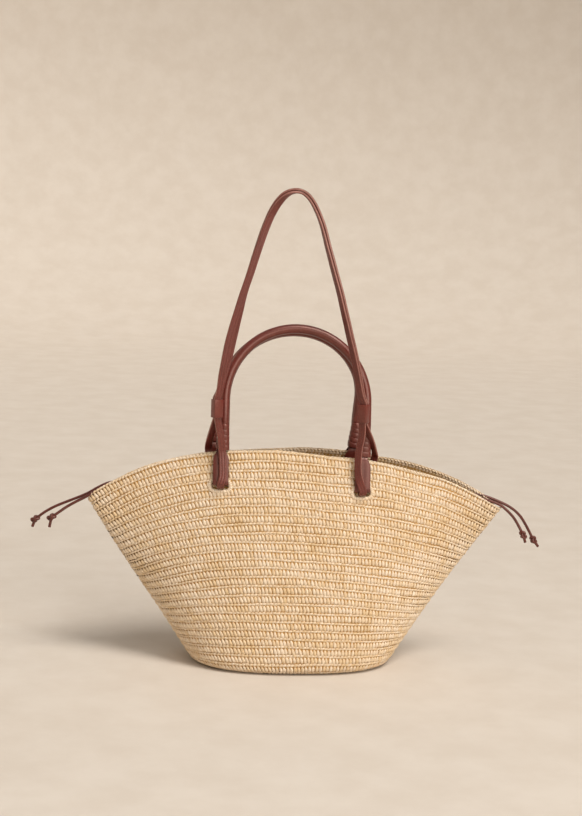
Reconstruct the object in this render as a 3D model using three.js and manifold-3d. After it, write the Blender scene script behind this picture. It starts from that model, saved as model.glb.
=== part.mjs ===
// Straw basket bag: a crocheted raffia basket with two rolled leather handles, a doubled leather
// shoulder strap held together by two keepers, and two leather drawcords in the hem of its mouth.
// Millimetres, +Z up. The front panel faces -Y with +X to its right, and the origin is the
// centre of the base's underside.

import * as THREE from "three";
import { mergeVertices } from "three/addons/utils/BufferGeometryUtils.js";
import Module from "manifold-3d";

// Clearances
const GAP = 0.3; // between pieces that touch
const LEATHER_CLEAR = 0.5; // between leather and the raffia wall

// Basket: a flat oval base, and a mouth that is pinched to a point at each end
const BASE_LENGTH = 226;
const BASE_DEPTH = 150;
const BASE_EDGE = 13; // round of the lower edge
const MOUTH_WIDTH = 475;
const MOUTH_DEPTH = 70;
const CORNER_HEIGHT = 184; // of the mouth's two points
const RIM_ARCH = 65; // rise of the rim above its points
const WALL = 3;
const HEM_THICKNESS = 6; // the rim is turned in on itself
const HEM_DROP = 14;

// Shares and powers that shape the basket between its base and its mouth
const RIM_PEAK = -0.1; // the rim is highest a little left of the middle
const RIM_FALL = { left: 2.6, right: 2.1 };
const CLOSE_LATE = 1.5; // the panels close in towards the mouth late
const PINCH_LATE = 1.3; // and the ends turn sharp late too
const BASE_FULLNESS = 0.8; // power of the base's full oval
const PINCHED_SIDE = 2; // power of the mouth's lens

// Eyelets: worked holes in the panels, one below each handle end
const EYELET_WIDTH = 19.4;
const EYELET_HEIGHT = 9;
const EYELET_DROP = 33; // from the rim to the hole's upper edge
const EYELET_SHIFT = -3; // the holes lie a little left of the handle's legs

// Rolled handles
const HANDLE_DIAMETER = 10.5;
const HANDLE_SPAN = 159.6; // between the legs' centres
const HANDLE_OFFSET = -5.5; // of the pair's middle from the basket's
const BACK_SHIFT = -3.5; // the back handle stands a little further left
const HANDLE_HEIGHT = 384; // of the centre line's top
const HANDLE_MEET = 5.6; // the two lean on each other, this far from the middle
const LEAN_LATE = 1.5;
const TANG_DIAMETER = 6.4; // the handle's core, which goes down into the wrap
const TANG_LENGTH = 12;

// Wraps: a thong wound round the handle's end and the loop's legs
const WRAP_HEIGHT = 31;
const WRAP_TURNS = 5;
const WRAP_TOP = 11.2;
const WRAP_FOOT_WIDTH = 15.6;
const WRAP_FOOT_DEPTH = 12.8;
const WRAP_FULLNESS = 0.7; // power of the foot's full section
const THONG_PROUD = 0.5;
const WRAP_SLANT = 0.14;
const RIM_STAND = 1; // the wrap starts this far above the rim

// Loops: pleated straps that straddle the rim through the eyelets
const LOOP_WIDTH = 17.6;
const LOOP_TOP_WIDTH = 10.4; // gathered inside the wrap
const LOOP_THICKNESS = 1.6;
const LOOP_PLEAT = 1.2;
const LOOP_TUCK = 12; // how far its ends go up inside the wrap
const LOOP_GATHER = 5; // above the wrap's foot, where it is fully gathered
const LOOP_SPREAD = 6; // below the rim, where it has its full width
const LOOP_PLEATED = 16; // below the rim, where its folds are full
const LOOP_LIP = 3; // above the hole, where it starts to turn in
const LOOP_DIP = 1.7;
const CURVE_TENSION = 0.4;

// Shoulder strap: a doubled stitched band
const STRAP_WIDTH = 8.2;
const STRAP_THICKNESS = 2.7; // of one ply
const STRAP_STAND = 11.2; // from the handle legs' plane to the middle of the keepers
const STRAP_LEAN = 12; // the top stands this much further back
const STRAP_TOP = 538.5;
const PLY_BOW = 7; // the rear ply's belly on the left leg
const PLY_BOW_BACK = 0.6; // and its share that goes backwards
const TURN_FLATNESS = 0.75; // the band's bend round the rim is lower than it is deep

// Keepers
const KEEPER_HEIGHT = 20.5;
const KEEPER_WALL = 1.1;
// shift is from the eyelet's middle, stand is the height over the rim, turn is in degrees
const KEEPERS = [
  { name: "left_keeper", side: -1, shift: -6.5, stand: 39.9, turn: 28 },
  { name: "right_keeper", side: 1, shift: -2.3, stand: 42.9, turn: -39 },
];

// Drawcords and their knots
const CORD_DIAMETER = 3.2;
const KNOT_LENGTH = 12;
const KNOT_THICKNESS = 9.4;

// The strap's arch from the left keeper to the right one, for the middle of its two plies.
// across is a share of the way between the keepers, up of the way from them to the top, turn is
// how far in degrees the stitched face looks into the arch instead of forwards, and bow is the
// share of the rear ply's belly.
const ARCH = [
  { across: 0.016, up: 0.04, turn: 27, bow: 0.25 },
  { across: 0.034, up: 0.12, turn: 24, bow: 0.7 },
  { across: 0.05, up: 0.22, turn: 19, bow: 1 },
  { across: 0.071, up: 0.315, turn: 15, bow: 0.9 },
  { across: 0.112, up: 0.434, turn: 11, bow: 0.5 },
  { across: 0.145, up: 0.52, turn: 9, bow: 0.2 },
  { across: 0.188, up: 0.62, turn: 8, bow: 0.05 },
  { across: 0.234, up: 0.742, turn: 9, bow: 0 },
  { across: 0.288, up: 0.85, turn: 16, bow: 0 },
  { across: 0.328, up: 0.91, turn: 26, bow: 0 },
  { across: 0.375, up: 0.957, turn: 42, bow: 0 },
  { across: 0.425, up: 0.988, turn: 66, bow: 0 },
  { across: 0.487, up: 1, turn: 88, bow: 0 },
  { across: 0.545, up: 0.985, turn: 90, bow: 0 },
  { across: 0.6, up: 0.94, turn: 88, bow: 0 },
  { across: 0.658, up: 0.86, turn: 84, bow: 0 },
  { across: 0.703, up: 0.76, turn: 78, bow: 0 },
  { across: 0.748, up: 0.655, turn: 72, bow: 0 },
  { across: 0.797, up: 0.55, turn: 68, bow: 0 },
  { across: 0.842, up: 0.45, turn: 63, bow: 0 },
  { across: 0.888, up: 0.325, turn: 57, bow: 0 },
  { across: 0.926, up: 0.221, turn: 51, bow: 0 },
  { across: 0.957, up: 0.121, turn: 46, bow: 0 },
  { across: 0.98, up: 0.04, turn: 41, bow: 0 },
];

// The strap's legs from a keeper down to its eyelet. up is a share of that height, shift of the
// loop's width from the eyelet's middle, near is how close the leg has come to the panel, or to
// the inside of the panel for the rear ply, and turn is as in the arch.
const LEFT_FRONT_LEG = [
  { up: 0.73, shift: -0.08, near: 0.35, turn: 18 },
  { up: 0.54, shift: 0.03, near: 0.85, turn: 10 },
  { up: 0.35, shift: 0.1, near: 1, turn: 5 },
  { up: 0.18, shift: 0.11, near: 1, turn: 2 },
];
const LEFT_REAR_LEG = [
  { up: 0.75, shift: -0.65, near: 0.4, turn: 24 },
  { up: 0.53, shift: -0.77, near: 1, turn: 14 },
  { up: 0.35, shift: -0.62, near: 1, turn: 6 },
  { up: 0.18, shift: -0.28, near: 1, turn: 2 },
];
const RIGHT_FRONT_LEG = [
  { up: 0.83, shift: -0.17, near: 0.1, turn: -38 },
  { up: 0.64, shift: -0.31, near: 0.7, turn: -36 },
  { up: 0.45, shift: -0.36, near: 1, turn: -32 },
  { up: 0.26, shift: -0.3, near: 1, turn: -24 },
];
const RIGHT_REAR_LEG = [
  { up: 0.83, shift: 0.48, near: 0, turn: -40 },
  { up: 0.64, shift: 0.84, near: 0.4, turn: -38 },
  { up: 0.5, shift: 0.97, near: 1, turn: -30 },
  { up: 0.34, shift: 0.78, near: 1, turn: -16 },
  { up: 0.18, shift: 0.34, near: 1, turn: -6 },
];

// Routes of the drawcords' free ends, out of the hem and over the mouth's points. Each ends at
// the middle of its knot, and tail is where the cut end shows beyond it.
const CORD_ROUTES = [
  {
    name: "left_back",
    points: [
      [-194, 8.8, 201.5],
      [-203, 6.6, 202.6],
      [-213, 4.3, 201.6],
      [-223.4, 3, 197],
      [-237.5, 2.5, 188.8],
      [-256.1, 2.6, 180.8],
      [-271, 2.8, 174.3],
      [-282.2, 2.6, 168],
      [-294, 2, 159.2],
    ],
    tail: [-297, 1, 150.5],
  },
  {
    name: "left_front",
    points: [
      [-194, -8.8, 199.5],
      [-203, -6.6, 200.6],
      [-213, -4.5, 199.6],
      [-223.4, -3.3, 195.6],
      [-237.4, -2.8, 186.8],
      [-248.4, -3.4, 181],
      [-258.8, -4.4, 175],
      [-266, -6, 170],
      [-275.4, -7.6, 163.6],
    ],
    tail: [-277.6, -8.6, 152.4],
  },
  {
    name: "right_back",
    points: [
      [192, 9.2, 195.6],
      [203, 6.6, 196.4],
      [213, 4.4, 196],
      [222, 3.1, 194.4],
      [238.3, 2.5, 188.6],
      [252.3, 2.4, 181.8],
      [262.9, 2.3, 173.4],
      [270.6, 2.2, 163],
      [281.5, 2, 144.1],
    ],
    tail: [287.6, 2, 136],
  },
  {
    name: "right_front",
    points: [
      [192, -9.2, 193],
      [203, -6.6, 194],
      [213, -4.6, 193.6],
      [222, -3.4, 191.6],
      [237.4, -2.9, 186.2],
      [246, -3.7, 180.2],
      [254.4, -4.6, 172],
      [260.4, -5.4, 163.2],
      [266.8, -7.1, 151.6],
    ],
    tail: [269.7, -8, 142.8],
  },
];

// How finely the curved faces are divided
const BASKET_SIDES = 50;
const BASKET_LEVELS = [0.18, 0.34, 0.5, 0.64, 0.78, 0.9, 1];
const BASE_EDGE_STEPS = 3;
const HANDLE_SIDES = 10;
const HANDLE_STEPS = 26;
const WRAP_SIDES = 10;
const CORD_SIDES = 8;
const CORD_STEP = 2.4; // in diameters
const STRAP_PER_ROW = 2;
const LOOP_PER_ROW = 2;

const { lerp: mix, degToRad } = THREE.MathUtils;

const colours = {
  raffia: new THREE.Color("#dcc091"),
  leather: new THREE.Color("#74352f"),
  thong: new THREE.Color("#6b302a"),
};

const materials = {
  raffia: { color: colours.raffia, roughness: 0.85, metalness: 0 },
  leather: { color: colours.leather, roughness: 0.42, metalness: 0 },
  thong: { color: colours.thong, roughness: 0.5, metalness: 0 },
};

const wasm = await Module();
wasm.setup();

const bag = new THREE.Group();

function add(name, geometry, material) {
  const mesh = new THREE.Mesh(geometry, new THREE.MeshStandardMaterial(materials[material]));
  mesh.name = name;
  bag.add(mesh);
}

// Boolean cuts and joins
function solid(geometry) {
  const bare = geometry.clone();
  bare.deleteAttribute("normal");
  bare.deleteAttribute("uv");
  const merged = mergeVertices(bare, 1e-4);
  return new wasm.Manifold(
    new wasm.Mesh({
      numProp: 3,
      vertProperties: merged.getAttribute("position").array,
      triVerts: new Uint32Array(merged.index.array),
    }),
  );
}

function geometryOf(manifold) {
  const mesh = manifold.getMesh();
  const geometry = new THREE.BufferGeometry();
  geometry.setAttribute("position", new THREE.BufferAttribute(mesh.vertProperties, 3));
  geometry.setIndex(new THREE.BufferAttribute(mesh.triVerts, 1));
  geometry.computeVertexNormals();
  return geometry;
}

// A closed skin through rings of as many points each, with a flat end on the first and the last
// ring, or with the last ring joined to the first. Its faces point outwards.
function loft(rings, joined = false) {
  const count = rings[0].length;
  const points = rings.flat();
  const faces = [];
  const bands = joined ? rings.length : rings.length - 1;
  for (let ring = 0; ring < bands; ring += 1) {
    const here = ring * count;
    const next = ((ring + 1) % rings.length) * count;
    for (let i = 0; i < count; i += 1) {
      const j = (i + 1) % count;
      faces.push([here + i, here + j, next + j], [here + i, next + j, next + i]);
    }
  }
  if (!joined) {
    const last = (rings.length - 1) * count;
    for (const [start, turned] of [[0, true], [last, false]]) {
      const middle = new THREE.Vector3();
      for (const point of points.slice(start, start + count)) middle.addScaledVector(point, 1 / count);
      points.push(middle);
      for (let i = 0; i < count; i += 1) {
        const edge = [start + i, start + ((i + 1) % count)];
        if (turned) edge.reverse();
        faces.push([...edge, points.length - 1]);
      }
    }
  }
  let volume = 0;
  for (const [a, b, c] of faces) {
    volume += points[a].dot(points[b].clone().cross(points[c]));
  }
  if (volume < 0) {
    for (const face of faces) face.reverse();
  }
  const geometry = new THREE.BufferGeometry().setFromPoints(points);
  geometry.setIndex(faces.flat());
  geometry.computeVertexNormals();
  return geometry;
}

// A round tube along a curve
function tube(points, radius, sides, steps) {
  const circle = new THREE.Shape();
  for (let i = 0; i < sides; i += 1) {
    const angle = (i / sides) * Math.PI * 2;
    const [x, y] = [radius * Math.cos(angle), radius * Math.sin(angle)];
    if (i === 0) circle.moveTo(x, y);
    else circle.lineTo(x, y);
  }
  circle.closePath();
  return new THREE.ExtrudeGeometry(circle, {
    steps,
    curveSegments: 1,
    bevelEnabled: false,
    extrudePath: new THREE.CatmullRomCurve3(points),
  });
}

// Basket
function rimShare(across) {
  const reach = across < RIM_PEAK ? -1 : 1;
  const fall = across < RIM_PEAK ? RIM_FALL.left : RIM_FALL.right;
  return 1 - Math.min(1, (across - RIM_PEAK) / (reach - RIM_PEAK)) ** fall;
}

function halfWidthAt(level) {
  return mix(BASE_LENGTH, MOUTH_WIDTH, level) / 2;
}

function heightAt(level, x) {
  const across = THREE.MathUtils.clamp(x / halfWidthAt(level), -1, 1);
  return level * (CORNER_HEIGHT + RIM_ARCH * rimShare(across));
}

function sectionAt(level, inset) {
  const pinch = level ** PINCH_LATE;
  const corner = mix(Math.PI / 2, Math.atan2(2 * MOUTH_DEPTH, MOUTH_WIDTH), pinch);
  return {
    halfWidth: halfWidthAt(level) - inset / Math.sin(corner),
    halfDepth: mix(BASE_DEPTH, MOUTH_DEPTH, level ** CLOSE_LATE) / 2 - inset,
    endPower: mix(BASE_FULLNESS, 1, pinch),
    sidePower: mix(BASE_FULLNESS, PINCHED_SIDE, pinch),
  };
}

// A point on the wall at a level from 0 at the base to 1 at the rim, inset from its outer face
function wallPoint(level, angle, inset) {
  const { halfWidth, halfDepth, endPower, sidePower } = sectionAt(level, inset);
  const [c, s] = [Math.cos(angle), Math.sin(angle)];
  const x = halfWidth * Math.sign(c) * Math.abs(c) ** endPower;
  const y = halfDepth * Math.sign(s) * Math.abs(s) ** sidePower;
  return new THREE.Vector3(x, y, heightAt(level, x));
}

function wallRing(level, inset) {
  return Array.from({ length: BASKET_SIDES }, (_, i) =>
    wallPoint(level, (i / BASKET_SIDES) * Math.PI * 2, inset),
  );
}

// The rounded lower edge, from the flat of the base to the wall above it
function edgeRings(inset, lift) {
  const edgeLevel = BASE_EDGE / Math.hypot(CORNER_HEIGHT, (MOUTH_WIDTH - BASE_LENGTH) / 2);
  const flat = wallRing(0, BASE_EDGE);
  const corner = wallRing(0, inset);
  const wall = wallRing(edgeLevel, inset);
  return Array.from({ length: BASE_EDGE_STEPS + 1 }, (_, step) => {
    const t = step / BASE_EDGE_STEPS;
    return flat.map((point, i) => {
      const low = new THREE.Vector3(point.x, point.y, lift);
      const bend = new THREE.Vector3(corner[i].x, corner[i].y, lift);
      return new THREE.QuadraticBezierCurve3(low, bend, wall[i]).getPoint(t);
    });
  });
}

// Half the depth of the basket at a place on the panel, measured to the outer face less an inset
function panelDepth(x, z, inset) {
  let [low, high] = [0, 1];
  for (let i = 0; i < 30; i += 1) {
    const level = (low + high) / 2;
    if (heightAt(level, x) < z) low = level;
    else high = level;
  }
  const { halfWidth, halfDepth, endPower, sidePower } = sectionAt(low, inset);
  const across = Math.min(1, Math.abs(x) / halfWidth) ** (1 / endPower);
  return halfDepth * Math.sqrt(1 - across ** 2) ** sidePower;
}

// The least and the most of that depth across a loop's width
function panelReach(x, z, inset) {
  const depths = [-1, 0, 1].map((side) => panelDepth(x + (side * LOOP_WIDTH) / 2, z, inset));
  return { least: Math.min(...depths), most: Math.max(...depths) };
}

const feet = [];
for (const [panel, face] of [["front", -1], ["back", 1]]) {
  for (const [end, side] of [["left", -1], ["right", 1]]) {
    const middle = HANDLE_OFFSET + (face > 0 ? BACK_SHIFT : 0);
    const legX = middle + (side * HANDLE_SPAN) / 2;
    const eyeletX = legX + EYELET_SHIFT;
    const rim = heightAt(1, eyeletX);
    feet.push({ name: `${panel}_${end}`, panel, face, side, legX, eyeletX, rim });
  }
}

function footOf(panel, side) {
  return feet.find((foot) => foot.panel === panel && foot.side === side);
}

// How far from the middle a handle's legs stand, over the middle of the hem
function handleDepth(panel) {
  const depths = [-1, 1].map((side) => {
    const foot = footOf(panel, side);
    return panelDepth(foot.legX, foot.rim, 0) - HEM_THICKNESS / 2;
  });
  return (depths[0] + depths[1]) / 2;
}

function eyeletCutter(foot) {
  const [w, r] = [EYELET_WIDTH / 2, EYELET_HEIGHT / 2];
  const slot = new THREE.Shape();
  slot.moveTo(-w + r, -r);
  slot.lineTo(w - r, -r);
  slot.absarc(w - r, 0, r, -Math.PI / 2, Math.PI / 2, false);
  slot.lineTo(-w + r, r);
  slot.absarc(-w + r, 0, r, Math.PI / 2, (3 * Math.PI) / 2, false);
  const depth = BASE_DEPTH / 2;
  const cutter = new THREE.ExtrudeGeometry(slot, { depth, bevelEnabled: false, curveSegments: 5 });
  cutter.rotateX(Math.PI / 2);
  const middle = foot.rim - EYELET_DROP - r;
  cutter.translate(foot.eyeletX, foot.face < 0 ? 0 : depth, middle);
  return cutter;
}

function cordPoints(route) {
  return route.points.map((point) => new THREE.Vector3(...point));
}

function basketGeometry() {
  const hemLevel = 1 - HEM_DROP / (CORNER_HEIGHT + RIM_ARCH);
  const rings = [
    ...edgeRings(0, 0),
    ...BASKET_LEVELS.map((level) => wallRing(level, 0)),
    wallRing(1, HEM_THICKNESS),
    wallRing(hemLevel, HEM_THICKNESS),
    wallRing(hemLevel, WALL),
    ...BASKET_LEVELS.slice(0, -2).reverse().map((level) => wallRing(level, WALL)),
    ...edgeRings(WALL, WALL).reverse(),
  ];
  let shell = solid(loft(rings));
  for (const foot of feet) shell = shell.subtract(solid(eyeletCutter(foot)));
  for (const route of CORD_ROUTES) {
    const bore = tube(cordPoints(route), CORD_DIAMETER / 2 + GAP, CORD_SIDES, 2 * route.points.length);
    shell = shell.subtract(solid(bore));
  }
  return geometryOf(shell);
}

add("basket_body", basketGeometry(), "raffia");

// Handles
function wrapFoot(foot) {
  return foot.rim + RIM_STAND;
}

function wrapTop(foot) {
  return wrapFoot(foot) + WRAP_HEIGHT;
}

function tangGeometry(foot, grow) {
  const length = TANG_LENGTH + grow;
  const tang = new THREE.CylinderGeometry(
    TANG_DIAMETER / 2 + grow,
    TANG_DIAMETER / 2 + grow,
    length + HANDLE_DIAMETER / 2,
    HANDLE_SIDES,
  );
  tang.rotateX(Math.PI / 2);
  const middle = wrapTop(foot) - length + (length + HANDLE_DIAMETER / 2) / 2;
  tang.translate(foot.legX, foot.face * handleDepth(foot.panel), middle);
  return tang;
}

function handleGeometry(panel, face) {
  const [left, right] = [footOf(panel, -1), footOf(panel, 1)];
  const radius = HANDLE_SPAN / 2;
  const spring = HANDLE_HEIGHT - radius;
  const middle = (left.legX + right.legX) / 2;
  const footDepth = handleDepth(panel);
  const points = [];
  const place = (foot, x, z) => {
    const start = wrapTop(foot) + HANDLE_DIAMETER / 2;
    const risen = Math.max(0, (z - start) / (HANDLE_HEIGHT - start)) ** LEAN_LATE;
    points.push(new THREE.Vector3(x, face * mix(footDepth, HANDLE_MEET, risen), z));
  };
  const arcSteps = 12;
  place(left, left.legX, wrapTop(left) + GAP);
  place(left, left.legX, wrapTop(left) + HANDLE_DIAMETER / 2);
  for (let i = 0; i <= arcSteps; i += 1) {
    const angle = Math.PI * (1 - i / arcSteps);
    const foot = i < arcSteps / 2 ? left : right;
    place(foot, middle + radius * Math.cos(angle), spring + radius * Math.sin(angle));
  }
  place(right, right.legX, wrapTop(right) + HANDLE_DIAMETER / 2);
  place(right, right.legX, wrapTop(right) + GAP);
  let handle = solid(tube(points, HANDLE_DIAMETER / 2, HANDLE_SIDES, HANDLE_STEPS));
  for (const foot of [left, right]) handle = handle.add(solid(tangGeometry(foot, 0)));
  return geometryOf(handle);
}

add("front_handle", handleGeometry("front", -1), "leather");
add("back_handle", handleGeometry("back", 1), "leather");

// Loops: rows hold the depth from the middle, the height, the width and the share of the pleats
function loopRows(foot) {
  const half = LOOP_THICKNESS / 2;
  const holeTop = foot.rim - EYELET_DROP;
  const hemFoot = foot.rim - HEM_DROP;
  const wrapped = handleDepth(foot.panel);
  const beside = half + GAP / 2;
  const outside = (z) => panelReach(foot.eyeletX, z, 0).most + LEATHER_CLEAR + half;
  const inside = (z, inset) => panelReach(foot.eyeletX, z, inset).least - LEATHER_CLEAR - half;
  const top = wrapFoot(foot) + LOOP_TUCK;
  const spread = foot.rim - LOOP_SPREAD;
  const pleated = foot.rim - LOOP_PLEATED;
  const lip = holeTop + LOOP_LIP;
  const dip = holeTop - LEATHER_CLEAR - half - LOOP_DIP;
  const narrow = LOOP_TOP_WIDTH;
  const full = LOOP_WIDTH;
  return [
    { depth: wrapped + beside, z: top, width: narrow, pleat: 0 },
    { depth: wrapped + beside, z: wrapFoot(foot) + LOOP_GATHER, width: narrow, pleat: 0 },
    { depth: outside(foot.rim), z: foot.rim + GAP, width: narrow, pleat: 0.3 },
    { depth: outside(spread), z: spread, width: full, pleat: 0.8 },
    { depth: outside(pleated), z: pleated, width: full, pleat: 1 },
    { depth: outside(lip), z: lip, width: full, pleat: 1 },
    { depth: outside(holeTop), z: dip + half, width: full, pleat: 1 },
    { depth: panelDepth(foot.eyeletX, holeTop, WALL / 2), z: dip, width: full, pleat: 1 },
    { depth: inside(holeTop, WALL), z: dip + half, width: full, pleat: 1 },
    { depth: inside(lip, WALL), z: lip, width: full, pleat: 1 },
    { depth: inside(hemFoot, HEM_THICKNESS), z: hemFoot - LEATHER_CLEAR, width: full, pleat: 1 },
    { depth: inside(spread, HEM_THICKNESS), z: spread, width: full, pleat: 0.8 },
    { depth: inside(foot.rim, HEM_THICKNESS), z: foot.rim + GAP, width: narrow, pleat: 0.3 },
    { depth: wrapped - beside, z: wrapFoot(foot) + LOOP_GATHER, width: narrow, pleat: 0 },
    { depth: wrapped - beside, z: top, width: narrow, pleat: 0 },
  ];
}

// Across the loop's strip, from edge to edge: two rounded folds with a valley between them
const FOLDS = [
  { across: -1, proud: 0 },
  { across: -0.55, proud: 1 },
  { across: 0, proud: 0.1 },
  { across: 0.55, proud: 1 },
  { across: 1, proud: 0 },
];

function loopGeometry(foot, grow) {
  const rows = loopRows(foot);
  const path = new THREE.CatmullRomCurve3(
    rows.map((row) => new THREE.Vector3(0, foot.face * row.depth, row.z)),
    false,
    "catmullrom",
    CURVE_TENSION,
  );
  const shape = new THREE.CatmullRomCurve3(
    rows.map((row) => new THREE.Vector3(row.width / 2, row.pleat * LOOP_PLEAT, 0)),
    false,
    "catmullrom",
    CURVE_TENSION,
  );
  const count = (rows.length - 1) * LOOP_PER_ROW;
  const half = LOOP_THICKNESS / 2 + grow;
  const rings = [];
  for (let i = 0; i <= count; i += 1) {
    const along = path.getPoint(i / count);
    const tangent = path.getTangent(i / count);
    const out = new THREE.Vector3(0, tangent.z, -tangent.y).multiplyScalar(-foot.face);
    const { x: halfWidth, y: pleat } = shape.getPoint(i / count);
    if (i === 0) along.addScaledVector(tangent, -grow);
    if (i === count) along.addScaledVector(tangent, grow);
    const gathered = THREE.MathUtils.clamp((along.z - foot.rim) / LOOP_TUCK, 0, 1);
    const drift = mix(foot.eyeletX, foot.legX, gathered);
    const face = (fold, side) =>
      along
        .clone()
        .setX(drift + fold.across * (halfWidth + grow))
        .addScaledVector(out, fold.proud * pleat + side * half);
    const outer = FOLDS.map((fold) => face(fold, 1));
    const inner = FOLDS.map((fold) => face(fold, -1)).reverse();
    rings.push([...outer, ...inner]);
  }
  return loft(rings);
}

// Wraps
function wrapGeometry(foot) {
  const rings = [];
  const count = 2 * WRAP_TURNS;
  for (let i = 0; i <= count; i += 1) {
    const t = i / count;
    const proud = i % 2 ? THONG_PROUD : 0;
    const fullness = mix(WRAP_FULLNESS, 1, t);
    const slant = i === 0 || i === count ? 0 : WRAP_SLANT;
    const middleX = mix(foot.eyeletX + foot.legX, 2 * foot.legX, t) / 2;
    const halfWidth = mix(WRAP_FOOT_WIDTH, WRAP_TOP, t) / 2 + proud;
    const halfDepth = mix(WRAP_FOOT_DEPTH, WRAP_TOP, t) / 2 + proud;
    const ring = [];
    for (let k = 0; k < WRAP_SIDES; k += 1) {
      const angle = (k / WRAP_SIDES) * Math.PI * 2;
      const [c, s] = [Math.cos(angle), Math.sin(angle)];
      const x = halfWidth * Math.sign(c) * Math.abs(c) ** fullness;
      const depth = handleDepth(foot.panel) + halfDepth * Math.sign(s) * Math.abs(s) ** fullness;
      const z = wrapFoot(foot) + t * WRAP_HEIGHT - slant * x;
      ring.push(new THREE.Vector3(middleX + x, foot.face * depth, z));
    }
    rings.push(ring);
  }
  const wrap = solid(loft(rings));
  const cuts = [tangGeometry(foot, GAP), loopGeometry(foot, GAP)];
  return geometryOf(cuts.reduce((left, cut) => left.subtract(solid(cut)), wrap));
}

for (const foot of feet) {
  add(`${foot.name}_loop`, loopGeometry(foot, 0), "leather");
  add(`${foot.name}_wrap`, wrapGeometry(foot), "thong");
}

// Shoulder strap: a station is a place on one ply, the way its outer face looks, and its row
const UP = new THREE.Vector3(0, 0, 1);

function facing(turn, inward) {
  const angle = degToRad(turn);
  return new THREE.Vector3(0, -Math.cos(angle), 0).addScaledVector(inward, Math.sin(angle));
}

const KEEPER_STATIONS = [-0.07, 0.12, 0.5, 0.88, 1.07]; // shares of a keeper's height
const keeperY = -(handleDepth("front") + STRAP_STAND);
const plyOffset = (STRAP_THICKNESS + GAP) / 2;

function keeperFoot(keeper) {
  const foot = footOf("front", keeper.side);
  return new THREE.Vector3(foot.eyeletX + keeper.shift, keeperY, foot.rim + keeper.stand);
}

const [LEFT_KEEPER, RIGHT_KEEPER] = KEEPERS;

function keeperStations(keeper) {
  const face = facing(keeper.turn, new THREE.Vector3(1, 0, 0));
  return KEEPER_STATIONS.map((share) => ({
    middle: keeperFoot(keeper).addScaledVector(UP, share * KEEPER_HEIGHT),
    face,
    bow: 0,
    inward: new THREE.Vector3(1, 0, 0),
  }));
}

function archStations() {
  const [left, right] = KEEPERS.map(keeperFoot);
  const low = (left.z + right.z) / 2 + KEEPER_HEIGHT;
  const middles = ARCH.map(
    ({ across, up }) =>
      new THREE.Vector3(
        mix(left.x, right.x, across),
        keeperY + STRAP_LEAN * up,
        mix(low, STRAP_TOP - STRAP_THICKNESS, up),
      ),
  );
  return ARCH.map(({ turn, bow }, i) => {
    const before = middles[Math.max(0, i - 1)];
    const after = middles[Math.min(ARCH.length - 1, i + 1)];
    const along = after.clone().sub(before).setY(0).normalize();
    const inward = new THREE.Vector3(along.z, 0, -along.x);
    return { middle: middles[i], face: facing(turn, inward), bow, inward };
  });
}

// One ply of the doubled stretch, the front one with ply 1 and the rear one with ply -1
function plyStation({ middle, face, bow, inward }, ply) {
  const place = middle.clone().addScaledVector(face, ply * plyOffset);
  if (ply < 0) {
    place.addScaledVector(face, -PLY_BOW * PLY_BOW_BACK * bow);
    place.addScaledVector(inward, PLY_BOW * bow);
  }
  return { place, normal: face.clone().multiplyScalar(ply) };
}

const underLoop = LEATHER_CLEAR + LOOP_THICKNESS + LOOP_PLEAT + 2 * GAP;

function strapBottom(foot) {
  return foot.rim - EYELET_DROP - LOOP_DIP - underLoop - STRAP_THICKNESS / 2;
}

// Half of what a turned band takes up in depth
function turnedHalf(turn) {
  const angle = degToRad(Math.abs(turn));
  return (STRAP_THICKNESS * Math.cos(angle) + STRAP_WIDTH * Math.sin(angle)) / 2;
}

function legStations(rows, foot, keeper, ply) {
  const bottom = strapBottom(foot);
  const start = plyStation(keeperStations(keeper)[0], ply).place.y;
  return rows.map(({ up, shift, near, turn }) => {
    const x = foot.eyeletX + shift * LOOP_WIDTH;
    const z = mix(bottom, keeperFoot(keeper).z, up);
    const reach = underLoop + turnedHalf(turn);
    const wall = panelReach(x, z, ply > 0 ? 0 : HEM_THICKNESS);
    const end = ply > 0 ? wall.most + reach : wall.least - reach;
    const normal = facing(turn, new THREE.Vector3(1, 0, 0)).multiplyScalar(ply);
    return { place: new THREE.Vector3(x, mix(start, -end, near), z), normal };
  });
}

function turnStations(foot) {
  const bottom = strapBottom(foot);
  const reach = underLoop + STRAP_THICKNESS / 2 + GAP;
  const x = foot.eyeletX;
  const hole = foot.rim - EYELET_DROP;
  const outside = panelReach(x, hole, 0).most + reach;
  const inside = panelReach(x, hole, WALL).least - reach;
  const radius = (outside - inside) / 2;
  const drop = radius * TURN_FLATNESS;
  return Array.from({ length: 5 }, (_, i) => {
    const angle = (i / 4) * Math.PI;
    const normal = new THREE.Vector3(0, -Math.cos(angle), -Math.sin(angle));
    const middle = new THREE.Vector3(x, -(outside + inside) / 2, bottom + drop);
    const place = middle.clone().add(new THREE.Vector3(0, normal.y * radius, normal.z * drop));
    return { place, normal };
  });
}

function strapStations() {
  const [leftFoot, rightFoot] = [footOf("front", -1), footOf("front", 1)];
  const doubled = [
    ...keeperStations(LEFT_KEEPER),
    ...archStations(),
    ...keeperStations(RIGHT_KEEPER).reverse(),
  ];
  return [
    ...turnStations(leftFoot).reverse(),
    ...legStations(LEFT_FRONT_LEG, leftFoot, LEFT_KEEPER, 1).reverse(),
    ...doubled.map((station) => plyStation(station, 1)),
    ...legStations(RIGHT_FRONT_LEG, rightFoot, RIGHT_KEEPER, 1),
    ...turnStations(rightFoot),
    ...legStations(RIGHT_REAR_LEG, rightFoot, RIGHT_KEEPER, -1).reverse(),
    ...doubled.map((station) => plyStation(station, -1)).reverse(),
    ...legStations(LEFT_REAR_LEG, leftFoot, LEFT_KEEPER, -1),
  ];
}

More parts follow.
